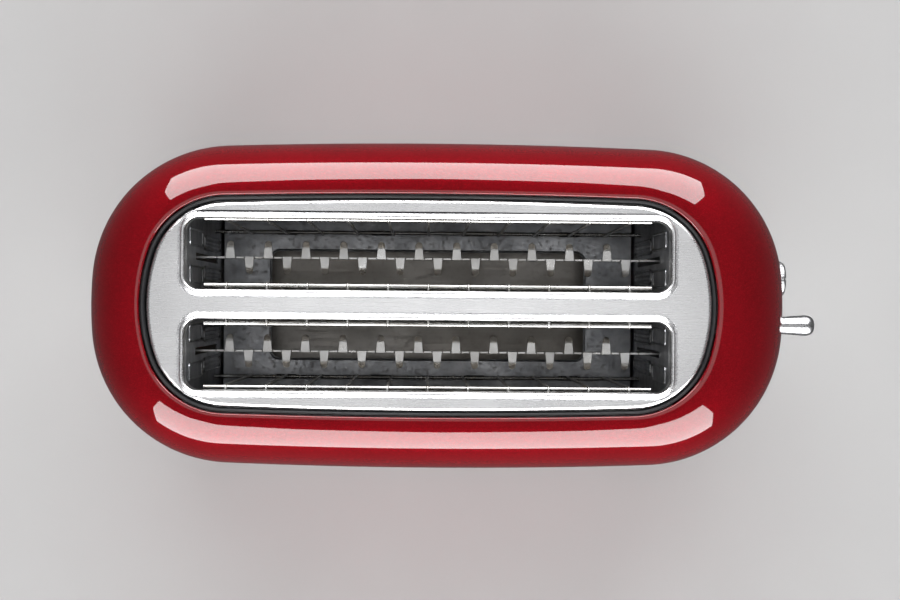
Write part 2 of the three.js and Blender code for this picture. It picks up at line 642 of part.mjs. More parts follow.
// A polished knob that widens towards a rounded end, bored out to take the arm.
function leverKnob() {
  const [root, end, length] = [4.9, 6.1, 23.5];
  const profile = new THREE.Path();
  profile.moveTo(0, 0);
  profile.lineTo(root, 0);
  profile.lineTo(end, length - 4.5);
  profile.quadraticCurveTo(end, length - 1, 3, length - 0.2);
  profile.lineTo(0, length);
  const turned = new THREE.LatheGeometry(profile.getPoints(4), 20);
  const tall = LEVER.armHalfHeight + GAP;
  const socket = box([-1, -1 - GAP, -tall], [6.5, 1 + GAP, tall]);
  return cut(solid(turned.applyMatrix4(TURNS.x)), socket);
}

function popSpring() {
  class Helix extends THREE.Curve {
    getPoint(t, target = new THREE.Vector3()) {
      const angle = 2 * Math.PI * POP_SPRING.turns * t;
      const z = POP_SPRING.low + (POP_SPRING.high - POP_SPRING.low) * t;
      return target.set(POP_SPRING.radius * Math.cos(angle), POP_SPRING.radius * Math.sin(angle), z);
    }
  }
  const section = new THREE.Shape();
  section.absarc(0, 0, POP_SPRING.wire, 0, 2 * Math.PI);
  const steps = POP_SPRING.turns * 8;
  const options = { extrudePath: new Helix(), steps, curveSegments: 2, bevelEnabled: false };
  return solid(new THREE.ExtrudeGeometry(section, options));
}

const MAGNET = { x: 146, y: 21 };
const ARMATURE_Z = RACK_Z - 14.4;

function buildLift() {
  const parent = group();
  SIDES.forEach(([name, side]) => {
    add(parent, `bread_rack_${name}`, wireSteel, rack(), [0, side * SLOT_Y, 0]);
  });
  add(parent, "lift_bridge", galvanised, liftBridge());
  add(parent, "lift_sleeve", brass, sleeve(), [ROD.x, 0, RACK_Z]);
  add(parent, "lever_arm", galvanised, leverArm());
  const knobX = BODY_X + BODY.halfLength + LEVER_REACH - 23.5;
  add(parent, "lever_knob", chrome, leverKnob(), [knobX, LEVER.y, LEVER.z]);
  const armature = box([-8, -7, 0], [8, 7, 2]);
  add(parent, "armature_plate", galvanised, armature, [MAGNET.x, MAGNET.y, ARMATURE_Z]);
  add(parent, "pop_spring", wireSteel, popSpring(), [SPRING_X, 0, 0]);
}

// ------------------------------------------------------------- mechanism on the chassis, behind the fascia

function guideRod() {
  return bar("z", [0, 0, CHASSIS_FLOOR], 144, ROD.radius, 16);
}

// A channel bolted to the end plate, with a shelf at each end for the rod and the magnet.
function rodBracket() {
  const x0 = FRONT_FACE + GAP;
  const upper = box([x0, -14, 190.3], [ROD.x + 8, 14, 191.8]);
  const upperFlange = box([x0, -14, 182], [x0 + 1.5, 14, 191.8]);
  const springPost = box([SPRING_X - 1, -1, POP_SPRING.high + 2], [SPRING_X + 1, 1, 191]);
  const springSeat = bar("z", [SPRING_X, 0, POP_SPRING.high + 1.1], 1.5, 5, 12);
  return union(upper, upperFlange, springPost, springSeat);
}

function magnetShelf() {
  const x0 = FRONT_FACE + GAP;
  const shelf = box([x0, -34, CHASSIS_FLOOR - 2], [ROD.x + 12, 34, CHASSIS_FLOOR - 0.3]);
  const flange = box([x0, -34, CHASSIS_FLOOR - 14], [x0 + 1.5, 34, CHASSIS_FLOOR - 0.3]);
  return union(shelf, flange);
}

const CORE_TOP = ARMATURE_Z - LIFT_DROP - 0.4;

// An E-shaped iron core whose middle leg stands in the coil.
function magnetCore() {
  const half = 8;
  const block = box([-half, -7, CHASSIS_FLOOR], [half, 7, CORE_TOP]);
  const windows = [-1, 1].map((way) => {
    const [a, b] = [way * 2.5, way * 5.6].sort((p, q) => p - q);
    return box([a, -10, CHASSIS_FLOOR + 4], [b, 10, CORE_TOP + 1]);
  });
  return cut(block, ...windows);
}

function magnetCoil() {
  const [low, high] = [CHASSIS_FLOOR + 4.3, CORE_TOP - 3];
  const ring = box([-5.3, -10.5, low], [5.3, 10.5, high]);
  return cut(ring, box([-2.8, -7.3, low - 1], [2.8, 7.3, high + 1]));
}

function switchBlock() {
  const block = box([-9, -7, 0], [9, 7, 12]);
  const leaves = [-4.5, 0.5, 5.5].map((x) => box([x, -6, 11], [x + 1, 6, 16]));
  const valley = box([-10, -3, 8], [10, 3, 13]);
  return union(cut(block, valley), ...leaves);
}

function circuitBoard(width, height) {
  return panelX(-width / 2, 0, width / 2, height, 0, 1.6);
}

function buildMechanism() {
  const parent = group();
  add(parent, "guide_rod", chrome, guideRod(), [ROD.x, 0, 0]);
  add(parent, "rod_bracket", galvanised, rodBracket());
  add(parent, "magnet_shelf", galvanised, magnetShelf());
  add(parent, "magnet_core", galvanised, magnetCore(), [MAGNET.x, MAGNET.y, 0]);
  add(parent, "magnet_coil", copperCoil, magnetCoil(), [MAGNET.x, MAGNET.y, 0]);
  add(parent, "switch_block", blackPlastic, switchBlock(), [MAGNET.x, -22, CHASSIS_FLOOR]);
  add(parent, "control_board", boardGreen, circuitBoard(32, 84), [BODY_X + 182, DIAL.y + 1, 60]);
}

// ---------------------------------------------------------------- dial and buttons

const END_FACE = BODY_X + BODY.halfLength;
const DIAL_SIZE = { radius: 11.2, length: 15, proud: 17 };

function shadeDial() {
  const back = END_FACE + DIAL_SIZE.proud - DIAL_SIZE.length;
  const front = back + DIAL_SIZE.length - 1.2;
  const face = bar("x", [front, 0, 0], 1.2, DIAL_SIZE.radius - 0.6, 28, DIAL_SIZE.radius - 2);
  const knob = bar("x", [back, 0, 0], DIAL_SIZE.length - 1.2, DIAL_SIZE.radius, 28, DIAL_SIZE.radius - 0.6);
  const pointer = box([END_FACE + DIAL_SIZE.proud - 0.8, -0.7, 3], [END_FACE + DIAL_SIZE.proud + 1, 0.7, 10]);
  const stem = bar("x", [END_FACE - 7, 0, 0], 12, 3, 16);
  return cut(union(knob, face, stem), pointer);
}

function potentiometer() {
  return panelX(-8, -8, 8, 8, 0, 5);
}

// A button's cap stands just proud of the fascia on a flange that keeps it in.
function button() {
  const cap = along(roundedRectangle(BUTTON.width, BUTTON.height, 3), -6, 1.4);
  const [w, h] = [BUTTON.width / 2 + 1.2, BUTTON.height / 2 + 1.2];
  return union(cap, panelX(-w, -h, w, h, -7, -5.8));
}

function buildControls() {
  const parent = group();
  add(parent, "shade_dial", chrome, shadeDial(), [0, DIAL.y, DIAL.z]);
  add(parent, "dial_potentiometer", blackPlastic, potentiometer(), [BODY_X + 184, DIAL.y, DIAL.z]);
  const names = ["cancel_button", "reheat_button", "bagel_button", "frozen_button"];
  names.forEach((name, i) => add(parent, name, blackPlastic, button(), [END_FACE, BUTTON.y, BUTTONS[i]]));
}

buildHousing();
buildDeck();
buildBase();
buildChassis();
buildGuards();
buildLift();
buildMechanism();
buildControls();

export default toaster;
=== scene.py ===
"""A long-slot pop-up toaster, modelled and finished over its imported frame.

The frame gives every piece its place and its motion. Each class below builds one sub-assembly: the
enamelled housing, the slotted deck, the base, the chassis, the bread guards, the bread lift, the
controls and the studio around them. Meshes are in metres, with +X towards the lever and +Z up, and the
sizes that the classes name are in millimetres, except the studio's, which are in metres.
"""

from __future__ import annotations

import logging
import math
from collections.abc import Callable, Sequence
from dataclasses import dataclass
from enum import Enum
from functools import cache

import bmesh
import bpy
from mathutils import Matrix, Vector


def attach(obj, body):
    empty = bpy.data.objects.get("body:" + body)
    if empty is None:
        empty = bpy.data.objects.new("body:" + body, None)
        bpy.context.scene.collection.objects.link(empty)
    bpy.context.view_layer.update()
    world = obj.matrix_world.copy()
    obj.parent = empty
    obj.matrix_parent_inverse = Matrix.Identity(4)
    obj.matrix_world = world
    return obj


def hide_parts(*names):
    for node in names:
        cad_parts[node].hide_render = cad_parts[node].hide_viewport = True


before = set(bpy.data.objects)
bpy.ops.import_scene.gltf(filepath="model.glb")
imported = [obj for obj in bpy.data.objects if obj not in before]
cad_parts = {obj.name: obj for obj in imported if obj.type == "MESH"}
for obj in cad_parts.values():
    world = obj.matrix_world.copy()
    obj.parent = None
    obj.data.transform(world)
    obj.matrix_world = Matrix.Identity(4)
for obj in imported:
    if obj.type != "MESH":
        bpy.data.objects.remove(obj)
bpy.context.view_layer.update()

LOG = logging.getLogger("toaster")
MM = 0.001
CREASE = 32.0
WIRE_CREASE = 40.0

Row = list[Vector]
Number = float | int
Piece = bpy.types.Object
Shape = bmesh.types.BMesh
Tree = bpy.types.NodeTree
Socket = bpy.types.NodeSocket
Place = Callable[[float, float, float], Vector]


class Side(Enum):
    """The two long sides of the toaster, by the sign of Y."""

    LEFT = 1
    RIGHT = -1


class End(Enum):
    """The two ends of the toaster, by the sign of X."""

    CONTROLS = 1
    TRAY = -1


class Grain(Enum):
    """Which way a metal is brushed or drawn: the noise is stretched least along it."""

    LENGTHWISE = (0.02, 1.0, 1.0)
    UPRIGHT = (1.0, 1.0, 0.03)
    EVEN = (1.0, 1.0, 1.0)


# ------------------------------------------------------------------ meshes


def linked(name: str, data: bpy.types.ID) -> Piece:
    """A new object of the scene, at the origin, that shows this data."""
    piece = bpy.data.objects.new(name, data)
    bpy.context.scene.collection.objects.link(piece)
    return piece


def smoothed(mesh: bpy.types.Mesh, crease: float = CREASE) -> None:
    """Shades a mesh smooth, but for edges that fold by more than a crease angle in degrees."""
    mesh.shade_smooth()
    mesh.set_sharp_from_angle(angle=math.radians(crease))


def outwards(shape: Shape) -> Shape:
    """Turns a closed bmesh's faces outwards."""
    bmesh.ops.recalc_face_normals(shape, faces=shape.faces)
    return shape


def object_from(shape: Shape, name: str, crease: float = CREASE) -> Piece:
    """Turns a bmesh into a linked object that is smooth up to a crease angle.

    Args:
        shape: the bmesh, which is freed.
        name: the object's and the mesh's name.
        crease: the angle in degrees past which an edge stays sharp.

    Returns:
        The new object, at the origin.
    """
    mesh = bpy.data.meshes.new(name)
    shape.normal_update()
    shape.to_mesh(mesh)
    shape.free()
    smoothed(mesh, crease)
    return linked(name, mesh)


def settle(piece: Piece) -> Piece:
    """Applies an object's modifiers, leaving a plain mesh.

    Args:
        piece: the object whose modifiers are applied.

    Returns:
        The same object.
    """
    graph = bpy.context.evaluated_depsgraph_get()
    mesh = bpy.data.meshes.new_from_object(piece.evaluated_get(graph), depsgraph=graph)
    mesh.name = piece.name
    piece.modifiers.clear()
    piece.data = mesh
    return piece


def joined(name: str, pieces: Sequence[Piece], crease: float = CREASE) -> Piece:
    """Makes one object of several, and removes them.

    Args:
        name: the new object's name.
        pieces: the objects to join, each with its place in its mesh.
        crease: the angle in degrees past which an edge stays sharp.

    Returns:
        The joined object.
    """
    shape = bmesh.new()
    for piece in pieces:
        shape.from_mesh(piece.data)
        bpy.data.objects.remove(piece)
    return object_from(shape, name, crease)


def surface(rows: Sequence[Row], around: bool = True, along: bool = False) -> Shape:
    """Spans quads between rows of points.

    Args:
        rows: rows with the same number of points.
        around: whether each row closes on itself.
        along: whether the last row joins the first.

    Returns:
        A bmesh with the surface.
    """
    shape = bmesh.new()
    grid = [[shape.verts.new(point) for point in row] for row in rows]
    count = len(grid[0])
    for i in range(len(grid) if along else len(grid) - 1):
        low = grid[i]
        high = grid[(i + 1) % len(grid)]
        for j in range(count if around else count - 1):
            k = (j + 1) % count
            shape.faces.new((low[j], low[k], high[k], high[j]))
    return shape


def capped(rows: Sequence[Row]) -> Shape:
    """Spans rows that close on themselves, and closes the first and last with a fan.

    Args:
        rows: rings of points, from one end to the other.

    Returns:
        A closed bmesh with its faces outwards.
    """
    shape = surface(rows)
    shape.verts.ensure_lookup_table()
    count = len(rows[0])
    for start in (0, len(shape.verts) - count):
        ring = [shape.verts[start + i] for i in range(count)]
        middle = shape.verts.new(sum((v.co for v in ring), Vector()) / count)
        shape.verts.ensure_lookup_table()
        for i in range(count):
            shape.faces.new((ring[i], ring[(i + 1) % count], middle))
    return outwards(shape)


def looped(name: str, rows: Sequence[Row], crease: float = CREASE) -> Piece:
    """Makes a ring of rows whose last joins the first, such as a section carried round a path."""
    return object_from(outwards(surface(rows, along=True)), name, crease)


def turned(
    name: str,
    profile: Sequence[tuple[Number, Number]],
    start: Vector,
    axis: Vector,
    sides: int = 48,
    bored: bool = False,
) -> Piece:
    """Turns a profile round an axis.

    Args:
        name: the piece's name.
        profile: (distance along the axis, radius) pairs in millimetres.
        start: the axis's first point.
        axis: the axis's direction.
        sides: facets round the axis.
        bored: whether the profile is a closed loop, which leaves a bore through the middle.

    Returns:
        The turned piece. One that isn't bored is closed at both ends.
    """
    across = axis.orthogonal().normalized()
    other = axis.cross(across).normalized()
    rows = []
    for reach, radius in profile:
        centre = start + axis * (reach * MM)
        row = []
        for i in range(sides):
            angle = 2 * math.pi * i / sides
            row.append(centre + (across * math.cos(angle) + other * math.sin(angle)) * (radius * MM))
        rows.append(row)
    return looped(name, rows) if bored else object_from(capped(rows), name)


def block(low: Sequence[Number], high: Sequence[Number], bevel: float = 0.4 * MM) -> Piece:
    """Makes a box with eased edges.

    Args:
        low: its lowest corner.
        high: its highest corner.
        bevel: how far its edges are eased.

    Returns:
        The box.
    """
    shape = bmesh.new()
    bmesh.ops.create_cube(shape, size=1.0)
    for vert in shape.verts:
        for k in range(3):
            vert.co[k] = high[k] if vert.co[k] > 0 else low[k]
    bmesh.ops.bevel(shape, geom=shape.edges[:], offset=bevel, segments=2, profile=0.5, affect="EDGES")
    return object_from(shape, "block")


# ------------------------------------------------------------------ outlines


@dataclass(frozen=True)
class Oval:
    """A long oval of tangent arcs, the same on all four quarters."""

    half_length: float
    half_width: float
    end_radius: float
    corner_radius: float
    side_radius: float
    centre_x: float = 0.0

    @cache
    def arcs(self) -> tuple[tuple[Vector, float, float], ...]:
        """The end, corner and side arcs: each one's centre, radius and last normal angle."""
        end = Vector((self.half_length - self.end_radius, 0.0))
        side = Vector((0.0, self.half_width - self.side_radius))
        span = side - end
        distance = span.length
        span.normalize()
        to_end = self.end_radius - self.corner_radius
        to_side = self.side_radius - self.corner_radius
        forward = (to_end**2 - to_side**2 + distance**2) / (2 * distance)
        sideways = math.sqrt(to_end**2 - forward**2)
        corner = end + span * forward + Vector((-span.y, span.x)) * sideways
        first = math.atan2(corner.y - end.y, corner.x - end.x)
        second = math.atan2(corner.y - side.y, corner.x - side.x)
        return (
            (end, self.end_radius, first),
            (corner, self.corner_radius, second),
            (side, self.side_radius, math.pi / 2),
        )

    def angles(self, step: float) -> list[float]:
        """Normal angles all round, spaced about evenly along the oval.

        Args:
            step: the distance between neighbours.

        Returns:
            Angles from 0 up to a full turn.
        """
        quarter: list[float] = []
        start = 0.0
        for _, radius, stop in self.arcs():
            count = max(2, math.ceil(radius * (stop - start) / step))
            quarter += [start + (stop - start) * i / count for i in range(count)]
            start = stop
        inner = quarter[1:]
        half = quarter + [math.pi / 2] + [math.pi - a for a in reversed(inner)]
        return half + [math.pi + a for a in half]

    def point(self, angle: float, grow: float = 0.0) -> Vector:
        """The point whose outward normal has this angle, on the oval grown by a distance."""
        folded = math.atan2(abs(math.sin(angle)), abs(math.cos(angle)))
        arcs = self.arcs()
        centre, radius, _ = next((arc for arc in arcs if folded <= arc[2] + 1e-9), arcs[-1])
        x = centre.x + (radius + grow) * math.cos(folded)
        y = centre.y + (radius + grow) * math.sin(folded)
        return Vector((self.centre_x + math.copysign(x, math.cos(angle)), math.copysign(y, math.sin(angle))))

    def ring(self, angles: Sequence[float], grow: float, z: float) -> Row:
        """The oval's points at these normal angles, grown, at a height."""
        return [self.point(angle, grow).to_3d() + Vector((0.0, 0.0, z)) for angle in angles]

    def end_x(self, y: float, grow: float, end: End) -> float:
        """The X of the grown oval's end wall at a Y."""
        for centre, radius, stop in self.arcs():
            slope = (abs(y) - centre.y) / (radius + grow)
            angle = math.asin(min(max(slope, -1.0), 1.0))
            if angle <= stop:
                break
        return self.centre_x + end.value * (centre.x + (radius + grow) * math.cos(angle))


@dataclass(frozen=True)
class RoundedRectangle:
    """A rectangle with rounded corners, in a plane of its own."""

    width: float
    height: float
    radius: float
    u: float = 0.0
    v: float = 0.0

    def grown(self, by: float) -> RoundedRectangle:
        """The same rectangle, larger all round."""
        return RoundedRectangle(
            self.width + 2 * by, self.height + 2 * by, max(self.radius + by, 1e-5), self.u, self.v
        )

    def outline(self, steps: int = 8) -> list[tuple[float, float]]:
        """Its points, anticlockwise, with a number of steps round each corner."""
        points = []
        for quarter, (su, sv) in enumerate(((1, 1), (-1, 1), (-1, -1), (1, -1))):
            cu = self.u + su * (self.width / 2 - self.radius)
            cv = self.v + sv * (self.height / 2 - self.radius)
            for i in range(steps + 1):
                angle = (quarter + i / steps) * math.pi / 2
                points.append((cu + self.radius * math.cos(angle), cv + self.radius * math.sin(angle)))
        return points

    def holds(self, u: float, v: float) -> bool:
        """Whether a point lies inside."""
        du = max(abs(u - self.u) - self.width / 2 + self.radius, 0.0)
        dv = max(abs(v - self.v) - self.height / 2 + self.radius, 0.0)
        return math.hypot(du, dv) < self.radius

    def nearest(self, u: float, v: float) -> tuple[float, float]:
        """The outline's point nearest to a point."""
        hu = self.width / 2 - self.radius
        hv = self.height / 2 - self.radius
        ku = min(max(u - self.u, -hu), hu)
        kv = min(max(v - self.v, -hv), hv)
        du = u - self.u - ku
        dv = v - self.v - kv
        reach = math.hypot(du, dv)
        if reach > 1e-9:
            return self.u + ku + du / reach * self.radius, self.v + kv + dv / reach * self.radius
        if hu - abs(ku) < hv - abs(kv):
            return self.u + math.copysign(hu + self.radius, ku), self.v + kv
        return self.u + ku, self.v + math.copysign(hv + self.radius, kv)


def circle(radius: float, u: float, v: float, steps: int = 24) -> list[tuple[float, float]]:
    """Points round a circle in a plate's plane."""
    turn = 2 * math.pi / steps
    return [(u + radius * math.cos(i * turn), v + radius * math.sin(i * turn)) for i in range(steps)]


Outline = Sequence[tuple[float, float]]


def plate(
    name: str,
    outer: Outline,
    holes: Sequence[Outline],
    thickness: float,
    place: Place,
    bevel: float = 0.2 * MM,
    grid: float = 0.0,
    crease: float = CREASE,
) -> Piece:
    """Cuts a plate with holes and eases its edges.

    Args:
        name: the piece's name.
        outer: the plate's outline.
        holes: the outlines cut out of it.
        thickness: the sheet's thickness, behind the plane of the outline.
        place: where a point of the plate goes, from its two plane coordinates and its depth.
        bevel: how far the rims are eased.
        grid: the spacing of the cuts that let a curved plate bend, or 0 for a flat one.
        crease: the angle in degrees past which an edge stays sharp.

    Returns:
        The plate.
    """
    shape = bmesh.new()
    for loop in (outer, *holes):
        verts = [shape.verts.new((u, v, 0.0)) for u, v in loop]
        for i, vert in enumerate(verts):
            shape.edges.new((vert, verts[(i + 1) % len(verts)]))
    bmesh.ops.triangle_fill(shape, use_beauty=True, use_dissolve=False, edges=shape.edges[:])
    for face in shape.faces:
        if face.normal.z < 0:
            face.normal_flip()
    if grid:
        for axis in (0, 1):
            low = min(point[axis] for point in outer)
            high = max(point[axis] for point in outer)
            normal = (1.0, 0.0, 0.0) if axis == 0 else (0.0, 1.0, 0.0)
            for i in range(1, int((high - low) / grid)):
                at = low + i * grid
                point = (at, 0.0, 0.0) if axis == 0 else (0.0, at, 0.0)
                everything = shape.verts[:] + shape.edges[:] + shape.faces[:]
                bmesh.ops.bisect_plane(shape, geom=everything, dist=1e-6, plane_co=point, plane_no=normal)
    front = shape.faces[:]
    rims = [edge for edge in shape.edges if edge.is_boundary]
    back = bmesh.ops.duplicate(shape, geom=front)
    twins = back["vert_map"]
    for face in [item for item in back["geom"] if isinstance(item, bmesh.types.BMFace)]:
        face.normal_flip()
    for edge in rims:
        a, b = edge.verts
        shape.faces.new((a, twins[a], twins[b], b))
    for vert in {twins[v] for face in front for v in face.verts}:
        vert.co.z -= thickness
    outwards(shape)
    if bevel:
        sharp = [edge for edge in shape.edges if edge.calc_face_angle(0.0) > 1.0]
        bmesh.ops.bevel(
            shape, geom=sharp, offset=bevel, segments=2, profile=0.5, affect="EDGES", clamp_overlap=True
        )
    for vert in shape.verts:
        vert.co = place(*vert.co)
    return object_from(outwards(shape), name, crease)


def swept_ring(
    path: RoundedRectangle, profile: Sequence[tuple[Number, Number]], place: Place
) -> Piece:
    """Carries a closed section round a rounded rectangle.

    Args:
        path: the rectangle.
        profile: the section as (outward distance, height) pairs in millimetres.
        place: where a point goes, from its two plane coordinates and its height.

    Returns:
        The ring.
    """
    rows = []
    for outward, height in profile:
        rows.append([place(u, v, height * MM) for u, v in path.grown(outward * MM).outline(10)])
    return looped("ring", rows)


def window(shape: Shape, hole: RoundedRectangle, wall: Callable[[float, float], Vector], end: End) -> None:
    """Opens a rounded window in an end wall, and draws the cut edge onto its outline.

    Args:
        shape: the wall as a fine grid of quads.
        hole: the window, in Y and Z.
        wall: the wall's point at a Y and a Z.
        end: which end the window is in.
    """
    doomed = []
    for face in shape.faces:
        middle = face.calc_center_median()
        if middle.x * end.value > 0 and hole.holds(middle.y, middle.z):
            doomed.append(face)
    bmesh.ops.delete(shape, geom=doomed, context="FACES")
    near = hole.grown(8 * MM)
    for vert in shape.verts:
        if vert.is_boundary and vert.co.x * end.value > 0 and near.holds(vert.co.y, vert.co.z):
            vert.co = wall(*hole.nearest(vert.co.y, vert.co.z))


def carved(piece: Piece, cutters: Sequence[Piece]) -> Piece:
    """Cuts closed pieces out of a closed piece, and removes them.

    Args:
        piece: what is cut.
        cutters: the pieces cut out of it.

    Returns:
        The cut piece.
    """
    for cutter in cutters:
        cut = piece.modifiers.new("cut", "BOOLEAN")
        cut.operation = "DIFFERENCE"
        cut.solver = "EXACT"
        cut.object = cutter
    settle(piece)
    smoothed(piece.data)
    for cutter in cutters:
        bpy.data.objects.remove(cutter)
    return piece


def prism(outline: Outline, place: Place, levels: Sequence[Number]) -> Piece:
    """Runs one outline through several depths, closed at both ends.

    Args:
        outline: the outline.
        place: where a point goes, from its two plane coordinates and its depth.
        levels: the depths, in order.

    Returns:
        The prism.
    """
    rows = [[place(u, v, level) for u, v in outline] for level in levels]
    return object_from(capped(rows), "prism")


# ------------------------------------------------------------------ node trees


def add_node(tree: Tree, kind: str, inputs: dict | None = None, **settings: object) -> bpy.types.Node:
    """Adds a node to a tree.

    Args:
        tree: a shader or geometry node tree.
        kind: the node's type.
        inputs: for each input, by name or number, the value it has or the socket that feeds it.
        settings: the node's own properties.

    Returns:
        The node.
    """
    node = tree.nodes.new(kind)
    for key, value in settings.items():
        setattr(node, key, value)
    for key, value in (inputs or {}).items():
        if isinstance(value, Socket):
            tree.links.new(value, node.inputs[key])
        else:
            node.inputs[key].default_value = value
    return node


def new_group(name: str, kind: str, inputs: dict[str, str], outputs: dict[str, str]) -> Tree:
    """Makes a node group with named sockets, and its input and output nodes.

    Args:
        name: the group's name.
        kind: the tree's type.
        inputs: each input's socket type, by its name.
        outputs: each output's socket type, by its name.

    Returns:
        The group.
    """
    group = bpy.data.node_groups.new(name, kind)
    for label, socket in inputs.items():
        group.interface.new_socket(name=label, in_out="INPUT", socket_type=socket)
    for label, socket in outputs.items():
        group.interface.new_socket(name=label, in_out="OUTPUT", socket_type=socket)
    return group


FLOAT = "NodeSocketFloat"
VECTOR = "NodeSocketVector"
COLOUR = "NodeSocketColor"
GEOMETRY = "NodeSocketGeometry"
WHOLE = "NodeSocketInt"


class Trees:
    """The geometry node trees that repeat a shape."""

    @staticmethod
    @cache
    def wire_row() -> Tree:
        """A path of edges made into round wire, and repeated along X."""
        inputs = {
            "Path": GEOMETRY,
            "Wire Radius": FLOAT,
            "Sides": WHOLE,
            "Count": WHOLE,
            "Pitch": FLOAT,
            "Finish": "NodeSocketMaterial",
        }
        tree = new_group("wire row", "GeometryNodeTree", inputs, {"Mesh": GEOMETRY})
        given = tree.nodes.new("NodeGroupInput").outputs
        path = add_node(tree, "GeometryNodeMeshToCurve", {"Mesh": given["Path"]})
        section = add_node(
            tree,
            "GeometryNodeCurvePrimitiveCircle",
            {"Radius": given["Wire Radius"], "Resolution": given["Sides"]},
        )
        wire = add_node(
            tree,
            "GeometryNodeCurveToMesh",
            {"Curve": path.outputs["Curve"], "Profile Curve": section.outputs["Curve"], "Fill Caps": True},
        )
        step = add_node(tree, "ShaderNodeCombineXYZ", {"X": given["Pitch"]})
        places = add_node(
            tree,
            "GeometryNodeMeshLine",
            {"Count": given["Count"], "Offset": step.outputs["Vector"]},
        )
        Trees.finish(tree, places.outputs["Mesh"], wire.outputs["Mesh"], given["Finish"])
        return tree

    @staticmethod
    @cache
    def copies() -> Tree:
        """One piece repeated at each of a mesh's points, turned about Z by the point's own angle."""
        inputs = {"Points": GEOMETRY, "Piece": "NodeSocketObject", "Finish": "NodeSocketMaterial"}
        tree = new_group("copies at points", "GeometryNodeTree", inputs, {"Mesh": GEOMETRY})
        given = tree.nodes.new("NodeGroupInput").outputs
        piece = add_node(tree, "GeometryNodeObjectInfo", {"Object": given["Piece"]})
        turn = add_node(tree, "GeometryNodeInputNamedAttribute", {"Name": "turn"}, data_type="FLOAT_VECTOR")
        angle = turn.outputs["Attribute"]
        Trees.finish(tree, given["Points"], piece.outputs["Geometry"], given["Finish"], angle)
        return tree

    @staticmethod
    def finish(
        tree: Tree,
        places: Socket,
        piece: Socket,
        finish: Socket,
        turn: Socket | None = None,
    ) -> None:
        """Ends a tree: copies at places, made real and given their finish.

        Args:
            tree: the tree.
            places: the points to repeat at.
            piece: the geometry to repeat.
            finish: the material.
            turn: each copy's rotation, if it has one.
        """
        inputs = {"Points": places, "Instance": piece}
        if turn:
            inputs["Rotation"] = turn
        copies = add_node(tree, "GeometryNodeInstanceOnPoints", inputs)
        real = add_node(tree, "GeometryNodeRealizeInstances", {"Geometry": copies.outputs["Instances"]})
        dressed = add_node(
            tree, "GeometryNodeSetMaterial", {"Geometry": real.outputs["Geometry"], "Material": finish}
        )
        add_node(tree, "NodeGroupOutput", {0: dressed.outputs["Geometry"]})

    @staticmethod
    def grow(piece: Piece, tree: Tree, values: dict[str, object]) -> Piece:
        """Runs a tree on an object and keeps the plain mesh it makes.

        Args:
            piece: the object that carries the tree's points or path.
            tree: the tree.
            values: each input's value, by its name.

        Returns:
            The same object, without the modifier.
        """
        modifier = piece.modifiers.new(tree.name, "NODES")
        modifier.node_group = tree
        for item in tree.interface.items_tree:
            if item.in_out == "INPUT" and item.name in values:
                modifier[item.identifier] = values[item.name]
        settle(piece)
        shape = bmesh.new()
        shape.from_mesh(piece.data)
        outwards(shape).to_mesh(piece.data)
        shape.free()
        smoothed(piece.data, WIRE_CREASE)
        return piece


def wires(
    name: str,
    path: Sequence[Vector],
    radius: float,
    finish: Finish,
    count: int = 1,
    pitch: float = 0.0,
    sides: int = 10,
) -> Piece:
    """Bends round wire along a path, and repeats it along X.

    Args:
        name: the piece's name.
        path: the wire's centre line.
        radius: the wire's radius.
        finish: its finish.
        count: how many there are.
        pitch: the distance between neighbours.
        sides: facets round the wire.

    Returns:
        The wires as one mesh.
    """
    mesh = bpy.data.meshes.new(name)
    mesh.from_pydata(path, [(i, i + 1) for i in range(len(path) - 1)], [])
    values = {
        "Wire Radius": radius,
        "Sides": sides,
        "Count": count,
        "Pitch": pitch,
        "Finish": finish.material(),
    }
    return Trees.grow(linked(name, mesh), Trees.wire_row(), values)


def copies(
    name: str, piece: Piece, places: Sequence[Vector], finish: Finish, turns: Sequence[Vector] = ()
) -> Piece:
    """Repeats a piece at several places, and removes the pattern it was copied from.

    Args:
        name: the new piece's name.
        piece: the pattern, made round the origin.
        places: where the copies go.
        finish: their finish.
        turns: each copy's rotation, or none.

    Returns:
        The copies as one mesh.
    """
    mesh = bpy.data.meshes.new(name)
    mesh.from_pydata(places, [], [])
    attribute = mesh.attributes.new("turn", "FLOAT_VECTOR", "POINT")
    for i, turn in enumerate(turns):
        attribute.data[i].vector = turn
    made = linked(name, mesh)
    Trees.grow(made, Trees.copies(), {"Piece": piece, "Finish": finish.material()})
    bpy.data.objects.remove(piece)
    return made


# ------------------------------------------------------------------ shared effects


def noise(tree: Tree, place: Socket, size: Socket | float, detail: float) -> Socket:
    """Soft random values over a surface, with patches of a size and a level of detail."""
    inputs = {"Vector": place, "Scale": size, "Detail": detail}
    return add_node(tree, "ShaderNodeTexNoise", inputs).outputs["Fac"]


def ranged(tree: Tree, value: Socket, low: float, high: float, **to: Socket) -> Socket:
    """A value between two limits, mapped to 0 and 1 or to the sockets low_to and high_to."""
    inputs = {"Value": value, "From Min": low, "From Max": high}
    if to:
        inputs["To Min"] = to["low_to"]
        inputs["To Max"] = to["high_to"]
    return add_node(tree, "ShaderNodeMapRange", inputs).outputs["Result"]


def reckoned(tree: Tree, operation: str, first: Socket, second: Socket) -> Socket:
    """The result of an operation on two values."""
    return add_node(tree, "ShaderNodeMath", {0: first, 1: second}, operation=operation).outputs["Value"]


def blended(tree: Tree, share: Socket, under: Socket, over: Socket) -> Socket:
    """A colour between two, by the share of the second."""
    inputs = {"Factor": share, 6: under, 7: over}
    return add_node(tree, "ShaderNodeMix", inputs, data_type="RGBA").outputs[2]


